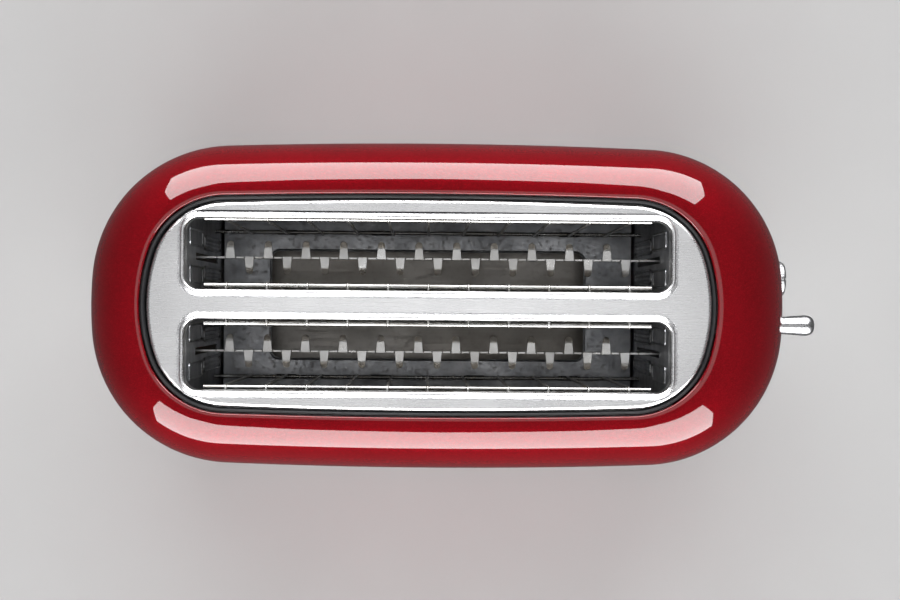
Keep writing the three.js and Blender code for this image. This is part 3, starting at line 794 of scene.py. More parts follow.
class Effects:
    """The shader node groups that more than one finish uses."""

    @staticmethod
    @cache
    def tone() -> Tree:
        """A colour that drifts between two shades in soft patches."""
        inputs = {"Vector": VECTOR, "Size": FLOAT, "Light": COLOUR, "Dark": COLOUR, "Share": FLOAT}
        tree = new_group("tone drift", "ShaderNodeTree", inputs, {"Colour": COLOUR})
        given = tree.nodes.new("NodeGroupInput").outputs
        spread = ranged(tree, noise(tree, given["Vector"], given["Size"], 4.0), 0.34, 0.66)
        share = reckoned(tree, "MULTIPLY", spread, given["Share"])
        add_node(tree, "NodeGroupOutput", {0: blended(tree, share, given["Light"], given["Dark"])})
        return tree

    @staticmethod
    @cache
    def grain() -> Tree:
        """Fine lines or pores: a roughness between two limits, and a height for a bump."""
        inputs = {"Vector": VECTOR, "Stretch": VECTOR, "Size": FLOAT, "Smooth": FLOAT, "Rough": FLOAT}
        tree = new_group("surface grain", "ShaderNodeTree", inputs, {"Roughness": FLOAT, "Height": FLOAT})
        given = tree.nodes.new("NodeGroupInput").outputs
        drawn = add_node(
            tree, "ShaderNodeVectorMath", {0: given["Vector"], 1: given["Stretch"]}, operation="MULTIPLY"
        )
        lines = noise(tree, drawn.outputs["Vector"], given["Size"], 5.0)
        smudges = noise(tree, given["Vector"], 34.0, 3.0)
        both = reckoned(tree, "ADD", lines, smudges)
        rough = ranged(tree, both, 0.7, 1.3, low_to=given["Smooth"], high_to=given["Rough"])
        add_node(tree, "NodeGroupOutput", {0: rough, 1: lines})
        return tree

    @staticmethod
    @cache
    def dust() -> Tree:
        """Fine dust and handling marks that settle on what faces up."""
        inputs = {"Vector": VECTOR, "Colour": COLOUR, "Dust": COLOUR, "Roughness": FLOAT, "Amount": FLOAT}
        tree = new_group("settled dust", "ShaderNodeTree", inputs, {"Colour": COLOUR, "Roughness": FLOAT})
        given = tree.nodes.new("NodeGroupInput").outputs
        facing = add_node(tree, "ShaderNodeNewGeometry")
        axes = add_node(tree, "ShaderNodeSeparateXYZ", {"Vector": facing.outputs["Normal"]})
        upward = ranged(tree, axes.outputs["Z"], 0.3, 1.0)
        thick = ranged(tree, noise(tree, given["Vector"], 420.0, 6.0), 0.5, 0.75)
        lying = reckoned(tree, "MULTIPLY", upward, thick)
        share = reckoned(tree, "MULTIPLY", lying, given["Amount"])
        colour = blended(tree, share, given["Colour"], given["Dust"])
        rough = reckoned(tree, "ADD", given["Roughness"], share)
        add_node(tree, "NodeGroupOutput", {0: colour, 1: rough})
        return tree

    @staticmethod
    @cache
    def flakes() -> Tree:
        """Metal flakes under a lacquer: some catch the light more than their neighbours."""
        inputs = {"Vector": VECTOR, "Size": FLOAT, "Colour": COLOUR, "Flake": COLOUR}
        tree = new_group("metal flakes", "ShaderNodeTree", inputs, {"Colour": COLOUR})
        given = tree.nodes.new("NodeGroupInput").outputs
        cells = add_node(tree, "ShaderNodeTexVoronoi", {"Vector": given["Vector"], "Scale": given["Size"]})
        parts = add_node(tree, "ShaderNodeSeparateColor", {"Color": cells.outputs["Color"]})
        bright = ranged(tree, parts.outputs["Red"], 0.55, 1.0)
        add_node(tree, "NodeGroupOutput", {0: blended(tree, bright, given["Colour"], given["Flake"])})
        return tree


# ------------------------------------------------------------------ finishes

Rgb = tuple[float, float, float]


@dataclass(frozen=True)
class Finish:
    """A surface: its two shades, how rough it is from spot to spot, and its grain."""

    name: str
    light: Rgb
    dark: Rgb
    smooth: float
    rough: float
    metallic: float = 0.0
    share: float = 1.0
    patch: float = 26.0
    grain: Grain = Grain.EVEN
    fineness: float = 1400.0
    relief: float = 0.02 * MM
    dusty: float = 0.0
    dust: Rgb = (0.42, 0.39, 0.35)
    coat: float = 0.0
    coat_roughness: float = 0.03
    coat_ior: float = 1.5
    specular: float = 0.5

    @cache
    def material(self) -> bpy.types.Material:
        """The finish as a material, made once."""
        made = bpy.data.materials.new(self.name)
        made.use_nodes = True
        tree = made.node_tree
        shader = next(node for node in tree.nodes if node.type == "BSDF_PRINCIPLED")
        place = add_node(tree, "ShaderNodeTexCoord").outputs["Object"]
        shades = {
            "Vector": place,
            "Size": self.patch,
            "Light": (*self.light, 1.0),
            "Dark": (*self.dark, 1.0),
            "Share": self.share,
        }
        tone = add_node(tree, "ShaderNodeGroup", shades, node_tree=Effects.tone())
        lines = {
            "Vector": place,
            "Stretch": self.grain.value,
            "Size": self.fineness,
            "Smooth": self.smooth,
            "Rough": self.rough,
        }
        grain = add_node(tree, "ShaderNodeGroup", lines, node_tree=Effects.grain())
        settled = {
            "Vector": place,
            "Colour": tone.outputs["Colour"],
            "Dust": (*self.dust, 1.0),
            "Roughness": grain.outputs["Roughness"],
            "Amount": self.dusty,
        }
        dusted = add_node(tree, "ShaderNodeGroup", settled, node_tree=Effects.dust())
        bump = add_node(
            tree,
            "ShaderNodeBump",
            {"Height": grain.outputs["Height"], "Distance": self.relief, "Strength": 1.0},
        )
        tree.links.new(dusted.outputs["Colour"], shader.inputs["Base Color"])
        tree.links.new(dusted.outputs["Roughness"], shader.inputs["Roughness"])
        tree.links.new(bump.outputs["Normal"], shader.inputs["Normal"])
        values = {
            "Metallic": self.metallic,
            "Specular IOR Level": self.specular,
            "Coat Weight": self.coat,
            "Coat Roughness": self.coat_roughness,
            "Coat IOR": self.coat_ior,
        }
        for label, value in values.items():
            shader.inputs[label].default_value = value
        self.enrich(tree, shader, place)
        return made

    def enrich(self, tree: Tree, shader: bpy.types.Node, place: Socket) -> None:
        """Adds what only this kind of finish has. A plain finish has nothing more."""


@dataclass(frozen=True)
class MetallicEnamel(Finish):
    """Coloured lacquer with fine metal flakes under a thick clear coat."""

    flake: Rgb = (0.9, 0.1, 0.1)
    flake_fineness: float = 2200.0

    def enrich(self, tree: Tree, shader: bpy.types.Node, place: Socket) -> None:
        """Lays the flakes in the colour coat."""
        inputs = {
            "Vector": place,
            "Size": self.flake_fineness,
            "Colour": shader.inputs["Base Color"].links[0].from_socket,
            "Flake": (*self.flake, 1.0),
        }
        flakes = add_node(tree, "ShaderNodeGroup", inputs, node_tree=Effects.flakes())
        tree.links.new(flakes.outputs["Colour"], shader.inputs["Base Color"])


@dataclass(frozen=True)
class ClearPlastic(Finish):
    """A frosted clear moulding."""

    transmission: float = 0.7

    def enrich(self, tree: Tree, shader: bpy.types.Node, place: Socket) -> None:
        """Lets light through."""
        shader.inputs["Transmission Weight"].default_value = self.transmission


ENAMEL = MetallicEnamel(
    "red metallic enamel", light=(0.188, 0.0005, 0.004), dark=(0.16, 0.0004, 0.003), smooth=0.34,
    rough=0.42, metallic=0.08, relief=0.001 * MM, coat=0.8, coat_roughness=0.012, coat_ior=1.6,
    specular=0.0, flake=(0.34, 0.003, 0.01), flake_fineness=4200.0,
)
STAINLESS = Finish(
    "brushed stainless steel", light=(0.8, 0.8, 0.81), dark=(0.75, 0.75, 0.76), smooth=0.22, rough=0.32,
    metallic=1.0, grain=Grain.LENGTHWISE, fineness=4200.0, relief=0.003 * MM,
)
UPRIGHT_STAINLESS = Finish(
    "upright-brushed stainless steel", light=(0.74, 0.74, 0.75), dark=(0.66, 0.66, 0.67), smooth=0.22,
    rough=0.36, metallic=1.0, grain=Grain.UPRIGHT, fineness=3200.0, relief=0.006 * MM,
)
CHROME = Finish(
    "bright chrome", light=(0.86, 0.87, 0.88), dark=(0.8, 0.81, 0.82), smooth=0.03, rough=0.09,
    metallic=1.0, relief=0.001 * MM,
)
SATIN_CHROME = Finish(
    "satin chrome", light=(0.46, 0.46, 0.47), dark=(0.42, 0.42, 0.43), smooth=0.26, rough=0.34,
    metallic=1.0, relief=0.001 * MM,
)
BLACK_PLASTIC = Finish(
    "satin black plastic", light=(0.022, 0.022, 0.024), dark=(0.012, 0.012, 0.013), smooth=0.3,
    rough=0.46, fineness=2600.0, relief=0.012 * MM, dusty=0.12,
)
TRIM_PLASTIC = Finish(
    "matt black trim", light=(0.018, 0.018, 0.02), dark=(0.01, 0.01, 0.011), smooth=0.42, rough=0.55,
    fineness=2600.0, relief=0.006 * MM, specular=0.22,
)
RUBBER = Finish(
    "dark rubber", light=(0.03, 0.03, 0.03), dark=(0.016, 0.016, 0.016), smooth=0.6, rough=0.8,
    fineness=1800.0, relief=0.03 * MM, dusty=0.2,
)
GALVANISED = Finish(
    "galvanised sheet", light=(0.5, 0.51, 0.53), dark=(0.32, 0.33, 0.35), smooth=0.28, rough=0.46,
    metallic=1.0, patch=90.0, fineness=900.0, dusty=0.25,
)
TRAY_SHEET = Finish(
    "heat-stained tray sheet", light=(0.5, 0.48, 0.455), dark=(0.36, 0.335, 0.305), smooth=0.34,
    rough=0.5, metallic=1.0, patch=14.0, grain=Grain.LENGTHWISE, fineness=900.0, dusty=0.1,
    dust=(0.2, 0.13, 0.08),
)
RACK_STEEL = Finish(
    "satin plated steel", light=(0.86, 0.86, 0.85), dark=(0.7, 0.69, 0.67), smooth=0.26, rough=0.42,
    metallic=1.0, patch=60.0, relief=0.004 * MM,
)
PLATED_WIRE = Finish(
    "plated wire", light=(0.5, 0.5, 0.49), dark=(0.36, 0.35, 0.33), smooth=0.22, rough=0.4, metallic=1.0,
    patch=60.0, relief=0.004 * MM,
)
MICA = Finish(
    "mica board", light=(0.42, 0.37, 0.28), dark=(0.26, 0.21, 0.15), smooth=0.35, rough=0.6, patch=120.0,
    fineness=500.0, relief=0.05 * MM,
)
RIBBON = Finish(
    "resistance ribbon", light=(0.3, 0.28, 0.27), dark=(0.15, 0.13, 0.12), smooth=0.4, rough=0.6,
    metallic=1.0, patch=80.0,
)
LAMINATE = Finish(
    "circuit laminate", light=(0.03, 0.14, 0.05), dark=(0.02, 0.09, 0.035), smooth=0.3, rough=0.45,
    patch=300.0,
)
COPPER = Finish(
    "enamelled copper", light=(0.55, 0.2, 0.07), dark=(0.4, 0.13, 0.045), smooth=0.25, rough=0.4,
    metallic=0.8, grain=Grain.UPRIGHT, fineness=1600.0, relief=0.08 * MM,
)
CLEAR = ClearPlastic(
    "frosted clear plastic", light=(0.9, 0.88, 0.8), dark=(0.82, 0.8, 0.72), smooth=0.12, rough=0.22,
    relief=0.005 * MM,
)
BRASS = Finish(
    "yellow brass", light=(0.68, 0.47, 0.17), dark=(0.5, 0.33, 0.11), smooth=0.2, rough=0.34,
    metallic=1.0, grain=Grain.UPRIGHT, fineness=1500.0,
)
PRINT = Finish(
    "dark print", light=(0.02, 0.02, 0.022), dark=(0.014, 0.014, 0.016), smooth=0.35, rough=0.45,
    relief=0.004 * MM,
)
FLOOR_PAINT = Finish(
    "pale studio floor", light=(0.5, 0.5, 0.5), dark=(0.48, 0.48, 0.48), smooth=0.75, rough=0.85,
    patch=3.0, fineness=700.0,
)


def place_on_body(
    piece: Piece, body: str, slot: str, finish: Finish, *nodes: str, sheet: bool = False
) -> None:
    """Gives a piece its finish, the body it rides on and the nodes it stands for.

    Args:
        piece: the finished mesh.
        body: the body that carries it.
        slot: the record's material slot; not used.
        finish: its finish.
        nodes: the frame's nodes that it stands for.
        sheet: whether it has wide flat faces whose shading has to stay flat up to their eased edges.
    """
    if sheet:
        weighted = piece.modifiers.new("flat faces stay flat", "WEIGHTED_NORMAL")
        weighted.keep_sharp = True
        settle(piece)
    piece.data.materials.clear()
    piece.data.materials.append(finish.material())
    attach(piece, body)
    if nodes:
        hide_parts(*nodes)
    LOG.info("%s rides on %s, %d faces", piece.name, body, len(piece.data.polygons))


def dress(finish: Finish, *nodes: str) -> None:
    """Gives nodes of the frame, whose shapes stay, a finish."""
    for name in nodes:
        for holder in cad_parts[name].material_slots:
            holder.material = finish.material()
        LOG.info("%s keeps its shape, in %s", name, finish.name)


# ------------------------------------------------------------------ shared sizes

REACH_X = -12.0
DECK_X = -18.0
BODY_OVAL = Oval(197 * MM, 93 * MM, 220 * MM, 80 * MM, 3200 * MM, REACH_X * MM)
OPENING_OVAL = Oval(155.3 * MM, 60 * MM, 91 * MM, 44 * MM, 3800 * MM, (DECK_X + 0.5) * MM)
PLATE_OVAL = Oval(151.6 * MM, 56.6 * MM, 88 * MM, 40 * MM, 2950 * MM, (DECK_X + 0.9) * MM)
DECK_Z = 203.0
SLOT_Y = 27.0
END_PLATE_REACH = 131.5
PIVOT_Z = 76.0
RACK_Z = 138.0
LEVER_Y = -10.0
LEVER_Z = 126.0
CONTROL_Y = 18.0
DIAL_Z = 80.0
BUTTON_Z = (102.0, 113.0, 124.0, 135.0)
LAMP_Y = 29.5
END_FACE = 185.0
UP = Vector((0.0, 0.0, 1.0))
OUTWARD = Vector((1.0, 0.0, 0.0))


def guard_line(side: Side, outer: bool) -> float:
    """The Y of a guard's pivot, in millimetres."""
    return side.value * (SLOT_Y + (17.7 if outer else -16.7))


def mm(x: Number, y: Number, z: Number) -> Vector:
    """A point given in millimetres."""
    return Vector((x, y, z)) * MM


# ------------------------------------------------------------------ sub-assemblies


@dataclass
class Housing:
    """The enamelled steel body: upright walls that roll in over the shoulder to the deck opening."""

    foot_z: float = 32.3
    shoulder_z: float = 132.0
    top_z: float = 203.5
    power: float = 2.3
    barrel: float = 3.0
    barrel_drop: float = 40.0
    barrel_z: float = 32.0
    roll_in: float = 48.0
    wall: float = 1.2
    hem: float = 4.0
    edge_radius: float = 0.9
    spacing: float = 2.6
    window: RoundedRectangle = RoundedRectangle(66.6 * MM, 104.6 * MM, 12.3 * MM, 3 * MM, 98 * MM)

    def draw_in(self, z: float) -> float:
        """How far the upright wall stands in from its widest line, at a height, all in millimetres."""
        upright = self.shoulder_z - self.barrel_drop
        return self.barrel * max(0.0, (upright - z) / (upright - self.barrel_z)) ** 2

    def set_back(self, z: float) -> float:
        """How far the control end stands in from its widest line, at any height, all in millimetres."""
        rise = max(0.0, (z - self.shoulder_z) / (self.top_z - self.shoulder_z))
        roll = 1 - (1 - rise**self.power) ** (1 / self.power)
        return self.draw_in(z) + self.roll_in * roll

    def end_wall(self, y: float, z: float) -> Vector:
        """The point of the control end's wall at a Y and a Z."""
        return Vector((BODY_OVAL.end_x(y, -self.set_back(z / MM) * MM, End.CONTROLS), y, z))

    def rows(self, angles: Sequence[float]) -> list[Row]:
        """The outside of the shell, from its foot to the hem inside the deck opening.

        Args:
            angles: the normal angles round the body.

        Returns:
            One row of points for each level.
        """
        rows = []
        count = round((self.shoulder_z - self.foot_z) / self.spacing)
        for i in range(count + 1):
            z = self.foot_z + (self.shoulder_z - self.foot_z) * i / count
            rows.append(BODY_OVAL.ring(angles, -self.draw_in(z) * MM, z * MM))
        foot = BODY_OVAL.ring(angles, -(self.draw_in(self.foot_z) + 0.5) * MM, self.foot_z * MM)
        rows[0] = [point + UP * (0.5 * MM) for point in rows[0]]
        rows.insert(0, foot)
        shoulder_steps = 34
        for i in range(1, shoulder_steps + 1):
            angle = math.pi / 2 * (i / shoulder_steps) ** 0.9
            inward = 1 - max(0.0, math.cos(angle)) ** (2 / self.power)
            rise = math.sin(angle) ** (2 / self.power)
            z = (self.shoulder_z + (self.top_z - self.shoulder_z) * rise) * MM
            low = BODY_OVAL.ring(angles, 0.0, z)
            high = OPENING_OVAL.ring(angles, self.edge_radius * MM, z)
            rows.append([a.lerp(b, inward) for a, b in zip(low, high)])
        edge_steps = 5
        for i in range(1, edge_steps + 1):
            angle = math.pi / 2 * i / edge_steps
            grow = self.edge_radius * (1 - math.sin(angle))
            z = self.top_z - self.edge_radius * (1 - math.cos(angle))
            rows.append(OPENING_OVAL.ring(angles, grow * MM, z * MM))
        rows.append(OPENING_OVAL.ring(angles, 0.0, (self.top_z - self.hem) * MM))
        return rows

    def build(self) -> None:
        """Builds the shell, opens it for the control panel and gives it its thickness."""
        shape = outwards(surface(self.rows(BODY_OVAL.angles(self.spacing * MM))))
        window(shape, self.window, self.end_wall, End.CONTROLS)
        shell = object_from(shape, "enamel_shell", 40)
        steel = shell.modifiers.new("steel", "SOLIDIFY")
        steel.thickness = self.wall * MM
        steel.offset = -1.0
        settle(shell)
        place_on_body(shell, "body", "red_enamel", ENAMEL, "housing_shell")


@dataclass
class Deck:
    """The pressed steel plate with its two slots, in a black trim ring."""

    length: float = 260.0
    width: float = 37.9
    corner: float = 7.2
    lip: float = 4.0
    sheet: float = 0.9

    def slot(self, side: Side) -> RoundedRectangle:
        """One bread slot, in X and Y."""
        return RoundedRectangle(
            self.length * MM, self.width * MM, self.corner * MM, DECK_X * MM, side.value * SLOT_Y * MM
        )

    def lip_section(self) -> list[tuple[float, float]]:
        """The bead round a slot, as (outward, height) pairs: a crease, a round crest and a deep lip."""
        top = DECK_Z
        return [
            (self.lip + 0.4, top - 0.02),
            (self.lip + 0.1, top - 0.26),
            (self.lip - 0.3, top - 0.32),
            (self.lip - 0.6, top - 0.05),
            (self.lip - 0.9, top + 0.75),
            (self.lip - 1.25, top + 1.5),
            (self.lip - 1.7, top + 2.0),
            (self.lip - 2.25, top + 2.2),
            (self.lip - 2.9, top + 2.15),
            (self.lip - 3.45, top + 1.8),
            (self.lip - 3.85, top + 1.0),
            (self.lip - 4.0, top - 0.2),
            (self.lip - 4.0, top - 5.8),
            (self.lip - 3.5, top - 6.0),
            (self.lip - 3.0, top - 5.8),
            (self.lip - 3.0, top - 0.4),
            (self.lip - 2.3, top + 0.9),
            (self.lip - 1.8, top + 0.6),
            (self.lip - 1.5, top - 0.9),
            (self.lip + 0.4, top - 0.9),
        ]

    def hem(self, angles: Sequence[float]) -> Piece:
        """The plate's outer edge, rolled down into the trim ring."""
        section = [(-1.8, 0.0), (-1.2, -0.08), (-0.6, -0.4), (-0.2, -0.9), (0.0, -1.6), (0.0, -5.8)]
        section += [(-0.9, -5.8), (-0.9, -1.8), (-1.2, -1.2), (-1.8, -0.9)]
        return looped(
            "hem", [PLATE_OVAL.ring(angles, grow * MM, (DECK_Z + z) * MM) for grow, z in section]
        )

    def build(self) -> None:
        """Builds the plate with its beads, and the trim ring round it."""
        angles = PLATE_OVAL.angles(2.5 * MM)
        outer = [(p.x, p.y) for p in PLATE_OVAL.ring(angles, -1.8 * MM, 0.0)]
        holes = [self.slot(side).grown((self.lip + 0.3) * MM).outline(10) for side in Side]
        top = DECK_Z * MM
        flat = plate(
            "flat", outer, holes, self.sheet * MM, lambda u, v, w: Vector((u, v, top + w)), bevel=0.0
        )
        beads = [
            swept_ring(self.slot(side), self.lip_section(), lambda u, v, w: Vector((u, v, w)))
            for side in Side
        ]
        made = joined("slot_plate", [flat, self.hem(angles), *beads], 50)
        place_on_body(made, "body", "brushed_stainless", STAINLESS, "deck_plate", sheet=True)
        self.trim()

    def trim(self) -> None:
        """Builds the ring between the plate and the shell: a soft ridge between two dark lines."""
        section = [(-0.5, 196.0), (-0.5, 201.2), (-0.7, 201.9), (-1.1, 202.3), (-1.5, 202.45), (-1.9, 202.3)]
        section += [(-2.3, 202.0), (-2.5, 201.5), (-2.8, 201.2), (-2.8, 196.0)]
        angles = OPENING_OVAL.angles(2.5 * MM)
        rows = [OPENING_OVAL.ring(angles, grow * MM, z * MM) for grow, z in section]
        ring = looped("trim_ring", rows, 50)
        place_on_body(ring, "body", "black_plastic", TRIM_PLASTIC, "deck_trim_ring")


@dataclass
class Base:
    """The black moulded base with its feet, screws, cord gland and vents."""

    floor_z: float = 6.0
    top_z: float = 32.0
    wall: float = 3.0
    chamfer_z: float = 11.0
    floor_top: float = 9.0
    floor_sheet: float = 3.0
    floor_inset: float = 10.9
    rail_x: tuple[float, float] = (-192.0, 112.0)
    rail_y: tuple[float, float] = (42.6, 45.0)
    rail_z: tuple[float, float] = (8.5, 25.0)
    vent_pitch: float = 22.0
    screw: tuple[float, float, float] = (139.5, 60.0, 6.6)
    foot: tuple[float, float] = (155.0, 50.0)
    gland_place: tuple[float, float, float] = (-112.0, 85.3, 19.0)
    mouth: RoundedRectangle = RoundedRectangle(86.4 * MM, 14.5 * MM, 1.5 * MM, 0.0, 18.25 * MM)

    def grow(self, z: float) -> float:
        """How far the wall stands out from the body's oval, at a height, all in millimetres."""
        if z < self.chamfer_z:
            return -10.0 + 3.5 * math.sin(math.pi / 2 * (z - self.floor_z) / (self.chamfer_z - self.floor_z))
        return -6.5 + 1.5 * (z - self.chamfer_z) / (self.top_z - self.chamfer_z)

    def tray_wall(self, y: float, z: float) -> Vector:
        """The point of the tray end's wall at a Y and a Z."""
        return Vector((BODY_OVAL.end_x(y, self.grow(z / MM) * MM, End.TRAY), y, z))

    def vents(self) -> list[Outline]:
        """The slots in the floor that let air up past the elements."""
        return [
            RoundedRectangle(6 * MM, 60 * MM, 2.9 * MM, (DECK_X + i * self.vent_pitch) * MM, 0.0).outline(6)
            for i in range(-4, 5)
        ]

    def screw_places(self) -> list[Vector]:
        """Where the four screws are, at the underside of their heads."""
        x, y, z = self.screw
        return [mm(DECK_X + end.value * x, side.value * y, z) for end in End for side in Side]

    def build(self) -> None:
        """Builds the pan and everything fixed to it."""
        angles = BODY_OVAL.angles(3 * MM)
        levels = [self.floor_z, 6.25, 6.8, 7.8, 9.2, 11.0] + [11 + 1.5 * i for i in range(1, 15)]
        rows = [BODY_OVAL.ring(angles, (self.grow(self.floor_z) - 1.0) * MM, self.floor_z * MM)]
        rows += [BODY_OVAL.ring(angles, self.grow(z) * MM, z * MM) for z in levels]
        shape = outwards(surface(rows))
        window(shape, self.mouth, self.tray_wall, End.TRAY)
        pan_wall = object_from(shape, "wall", 40)
        thick = pan_wall.modifiers.new("wall", "SOLIDIFY")
        thick.thickness = self.wall * MM
        thick.offset = -1.0
        settle(pan_wall)
        outer = [(p.x, p.y) for p in BODY_OVAL.ring(angles, -self.floor_inset * MM, 0.0)]
        wells = [circle(4.2 * MM, p.x, p.y) for p in self.screw_places()]
        floor = plate(
            "floor",
            outer,
            [*self.vents(), *wells],
            self.floor_sheet * MM,
            lambda u, v, w: Vector((u, v, self.floor_top * MM + w)),
            bevel=0.5 * MM,
        )
        near, far = self.rail_y
        lows, highs = zip(self.rail_x, self.rail_z)
        rails = [
            block(mm(lows[0], min(a, b), lows[1]), mm(highs[0], max(a, b), highs[1]))
            for a, b in ((near, far), (-near, -far))
        ]
        tube = ((0.6, 2.2), (0.6, 4.5), (12, 4.5), (12, 2.2))
        seat = ((2.0, 2.2), (2.0, 4.6), (3.2, 4.6), (3.2, 2.2))
        places = self.screw_places()
        bosses = [turned("boss", tube, p + UP * 1.5 * MM, UP, 24, bored=True) for p in places]
        ledges = [turned("ledge", seat, p, UP, 24, bored=True) for p in places]
        pan = joined("moulded_base", [pan_wall, floor, *rails, *bosses, *ledges])
        place_on_body(pan, "body", "black_plastic", BLACK_PLASTIC, "base_pan", sheet=True)
        self.hardware()

    def hardware(self) -> None:
        """Builds the feet, the screws and the cord gland."""
        pad = ((0.0, 4.2), (0.0, 8.2), (0.4, 9.0), (1.2, 9.3), (4.4, 9.9), (5.3, 9.9), (5.8, 9.3), (5.8, 1.0))
        foot = turned("foot", (*pad, (1.0, 1.0), (1.0, 3.6)), Vector(), UP, 32, bored=True)
        x, y = self.foot
        places = [mm(REACH_X + end.value * x, side.value * y, 0) for end in End for side in Side]
        feet = copies("rubber_feet", foot, places, RUBBER)
        place_on_body(feet, "body", "dark_rubber", RUBBER, *(f"foot_{i}" for i in range(1, 5)))
        head = ((0.0, 2.6), (0.25, 3.3), (0.7, 3.7), (1.6, 3.8), (2.4, 3.6))
        shank = ((2.4, 1.7), (16.4, 1.5), (17.0, 0.6))
        screw = turned("screw", (*head, *shank), Vector(), UP, 28)
        arms = ((0.5, 2.4), (2.4, 0.5))
        carved(screw, [block(mm(-x, -y, -1), mm(x, y, 1.1), 0.0) for x, y in arms])
        turns = [Vector((0.0, 0.0, 0.3 + i)) for i in range(4)]
        screws = copies("base_screws", screw, self.screw_places(), PLATED_WIRE, turns)
        place_on_body(screws, "body", "plated_wire", PLATED_WIRE, *(f"base_screw_{i}" for i in range(1, 5)))
        ribbed = [(-7, 3.8), (-7, 6.6), (-6.6, 7.0), (-5.2, 7.0), (-4.8, 5.2), (1.2, 5.2), (1.2, 7.0)]
        ribbed += [(1.6, 7.4), (3.2, 7.4), (3.6, 6.9), (3.8, 5.6), (4.6, 5.3), (5.0, 4.8), (5.0, 3.8)]
        gland = turned("cord_grommet", ribbed, mm(*self.gland_place), Vector((0, 1, 0)), 40, bored=True)
        place_on_body(gland, "body", "dark_rubber", RUBBER, "cord_gland")


@dataclass
class CrumbTray:
    """The folded steel tray and its moulded handle, which slide out of the tray end."""

    half_width: float = 42.0
    low: float = 12.5
    high: float = 21.0
    rear: float = -195.0
    front: float = 108.0
    sheet: float = 0.8

    def pan(self) -> Piece:
        """The folded pan: a flat bottom with a small radius up to its walls and a rolled rim."""
        middle = (self.front + self.rear) / 2
        length = self.front - self.rear
        path = RoundedRectangle(length * MM, 2 * self.half_width * MM, 3 * MM, middle * MM, 0.0)
        low = self.low
        high = self.high
        section = [(0.0, high - 0.4), (-0.3, high), (-0.8, high), (-1.1, high - 0.4), (-1.1, low + 2.6)]
        section += [(-1.4, low + 1.7), (-2.2, low + 1.1), (-3.0, low + 0.9), (-3.0, low), (-1.7, low)]
        section += [(-0.6, low + 0.6), (0.0, low + 1.8)]
        wall = swept_ring(path, section, lambda u, v, w: Vector((u, v, w)))
        bottom = plate(
            "bottom",
            path.grown(-2.8 * MM).outline(4),
            [],
            self.sheet * MM,
            lambda u, v, w: Vector((u, v, (self.low + 0.9) * MM + w)),
            bevel=0.0,
        )
        return joined("crumb_pan", [wall, bottom])

    def handle(self) -> Piece:
        """The front, which follows the base's wall and is hollowed beneath for the fingertips."""
        levels = (
            (11.6, -7.4), (12.0, -6.2), (12.8, -5.5), (15.0, -5.2), (18.0, -4.9), (21.0, -4.6),
            (23.4, -4.4), (24.4, -4.8), (24.9, -5.8),
        )
        half = self.half_width + 0.6
        steps = 44
        rows = []
        for z, grow in levels:
            row = []
            for i in range(steps + 1):
                y = (-half + 2 * half * i / steps) * MM
                x = min(BODY_OVAL.end_x(y, grow * MM, End.TRAY), (self.rear - 0.6) * MM)
                row.append(Vector((x, y, z * MM)))
            back = (self.rear - 0.3) * MM
            row += [Vector((back, half * MM, z * MM)), Vector((back, -half * MM, z * MM))]
            rows.append(row)
        body = object_from(capped(rows), "tray_front")
        grip = RoundedRectangle(24 * MM, 52 * MM, 10 * MM, -212 * MM, 0.0)
        hollow = prism(grip.outline(10), lambda u, v, w: Vector((u, v, w * MM)), (10, 17.6, 18.5))
        return carved(body, [hollow])

    def build(self) -> None:
        """Builds the tray and its handle on their own body."""
        place_on_body(self.pan(), "tray", "galvanised_sheet", TRAY_SHEET, "crumb_tray", sheet=True)
        place_on_body(self.handle(), "tray", "black_plastic", BLACK_PLASTIC, "crumb_tray_handle")


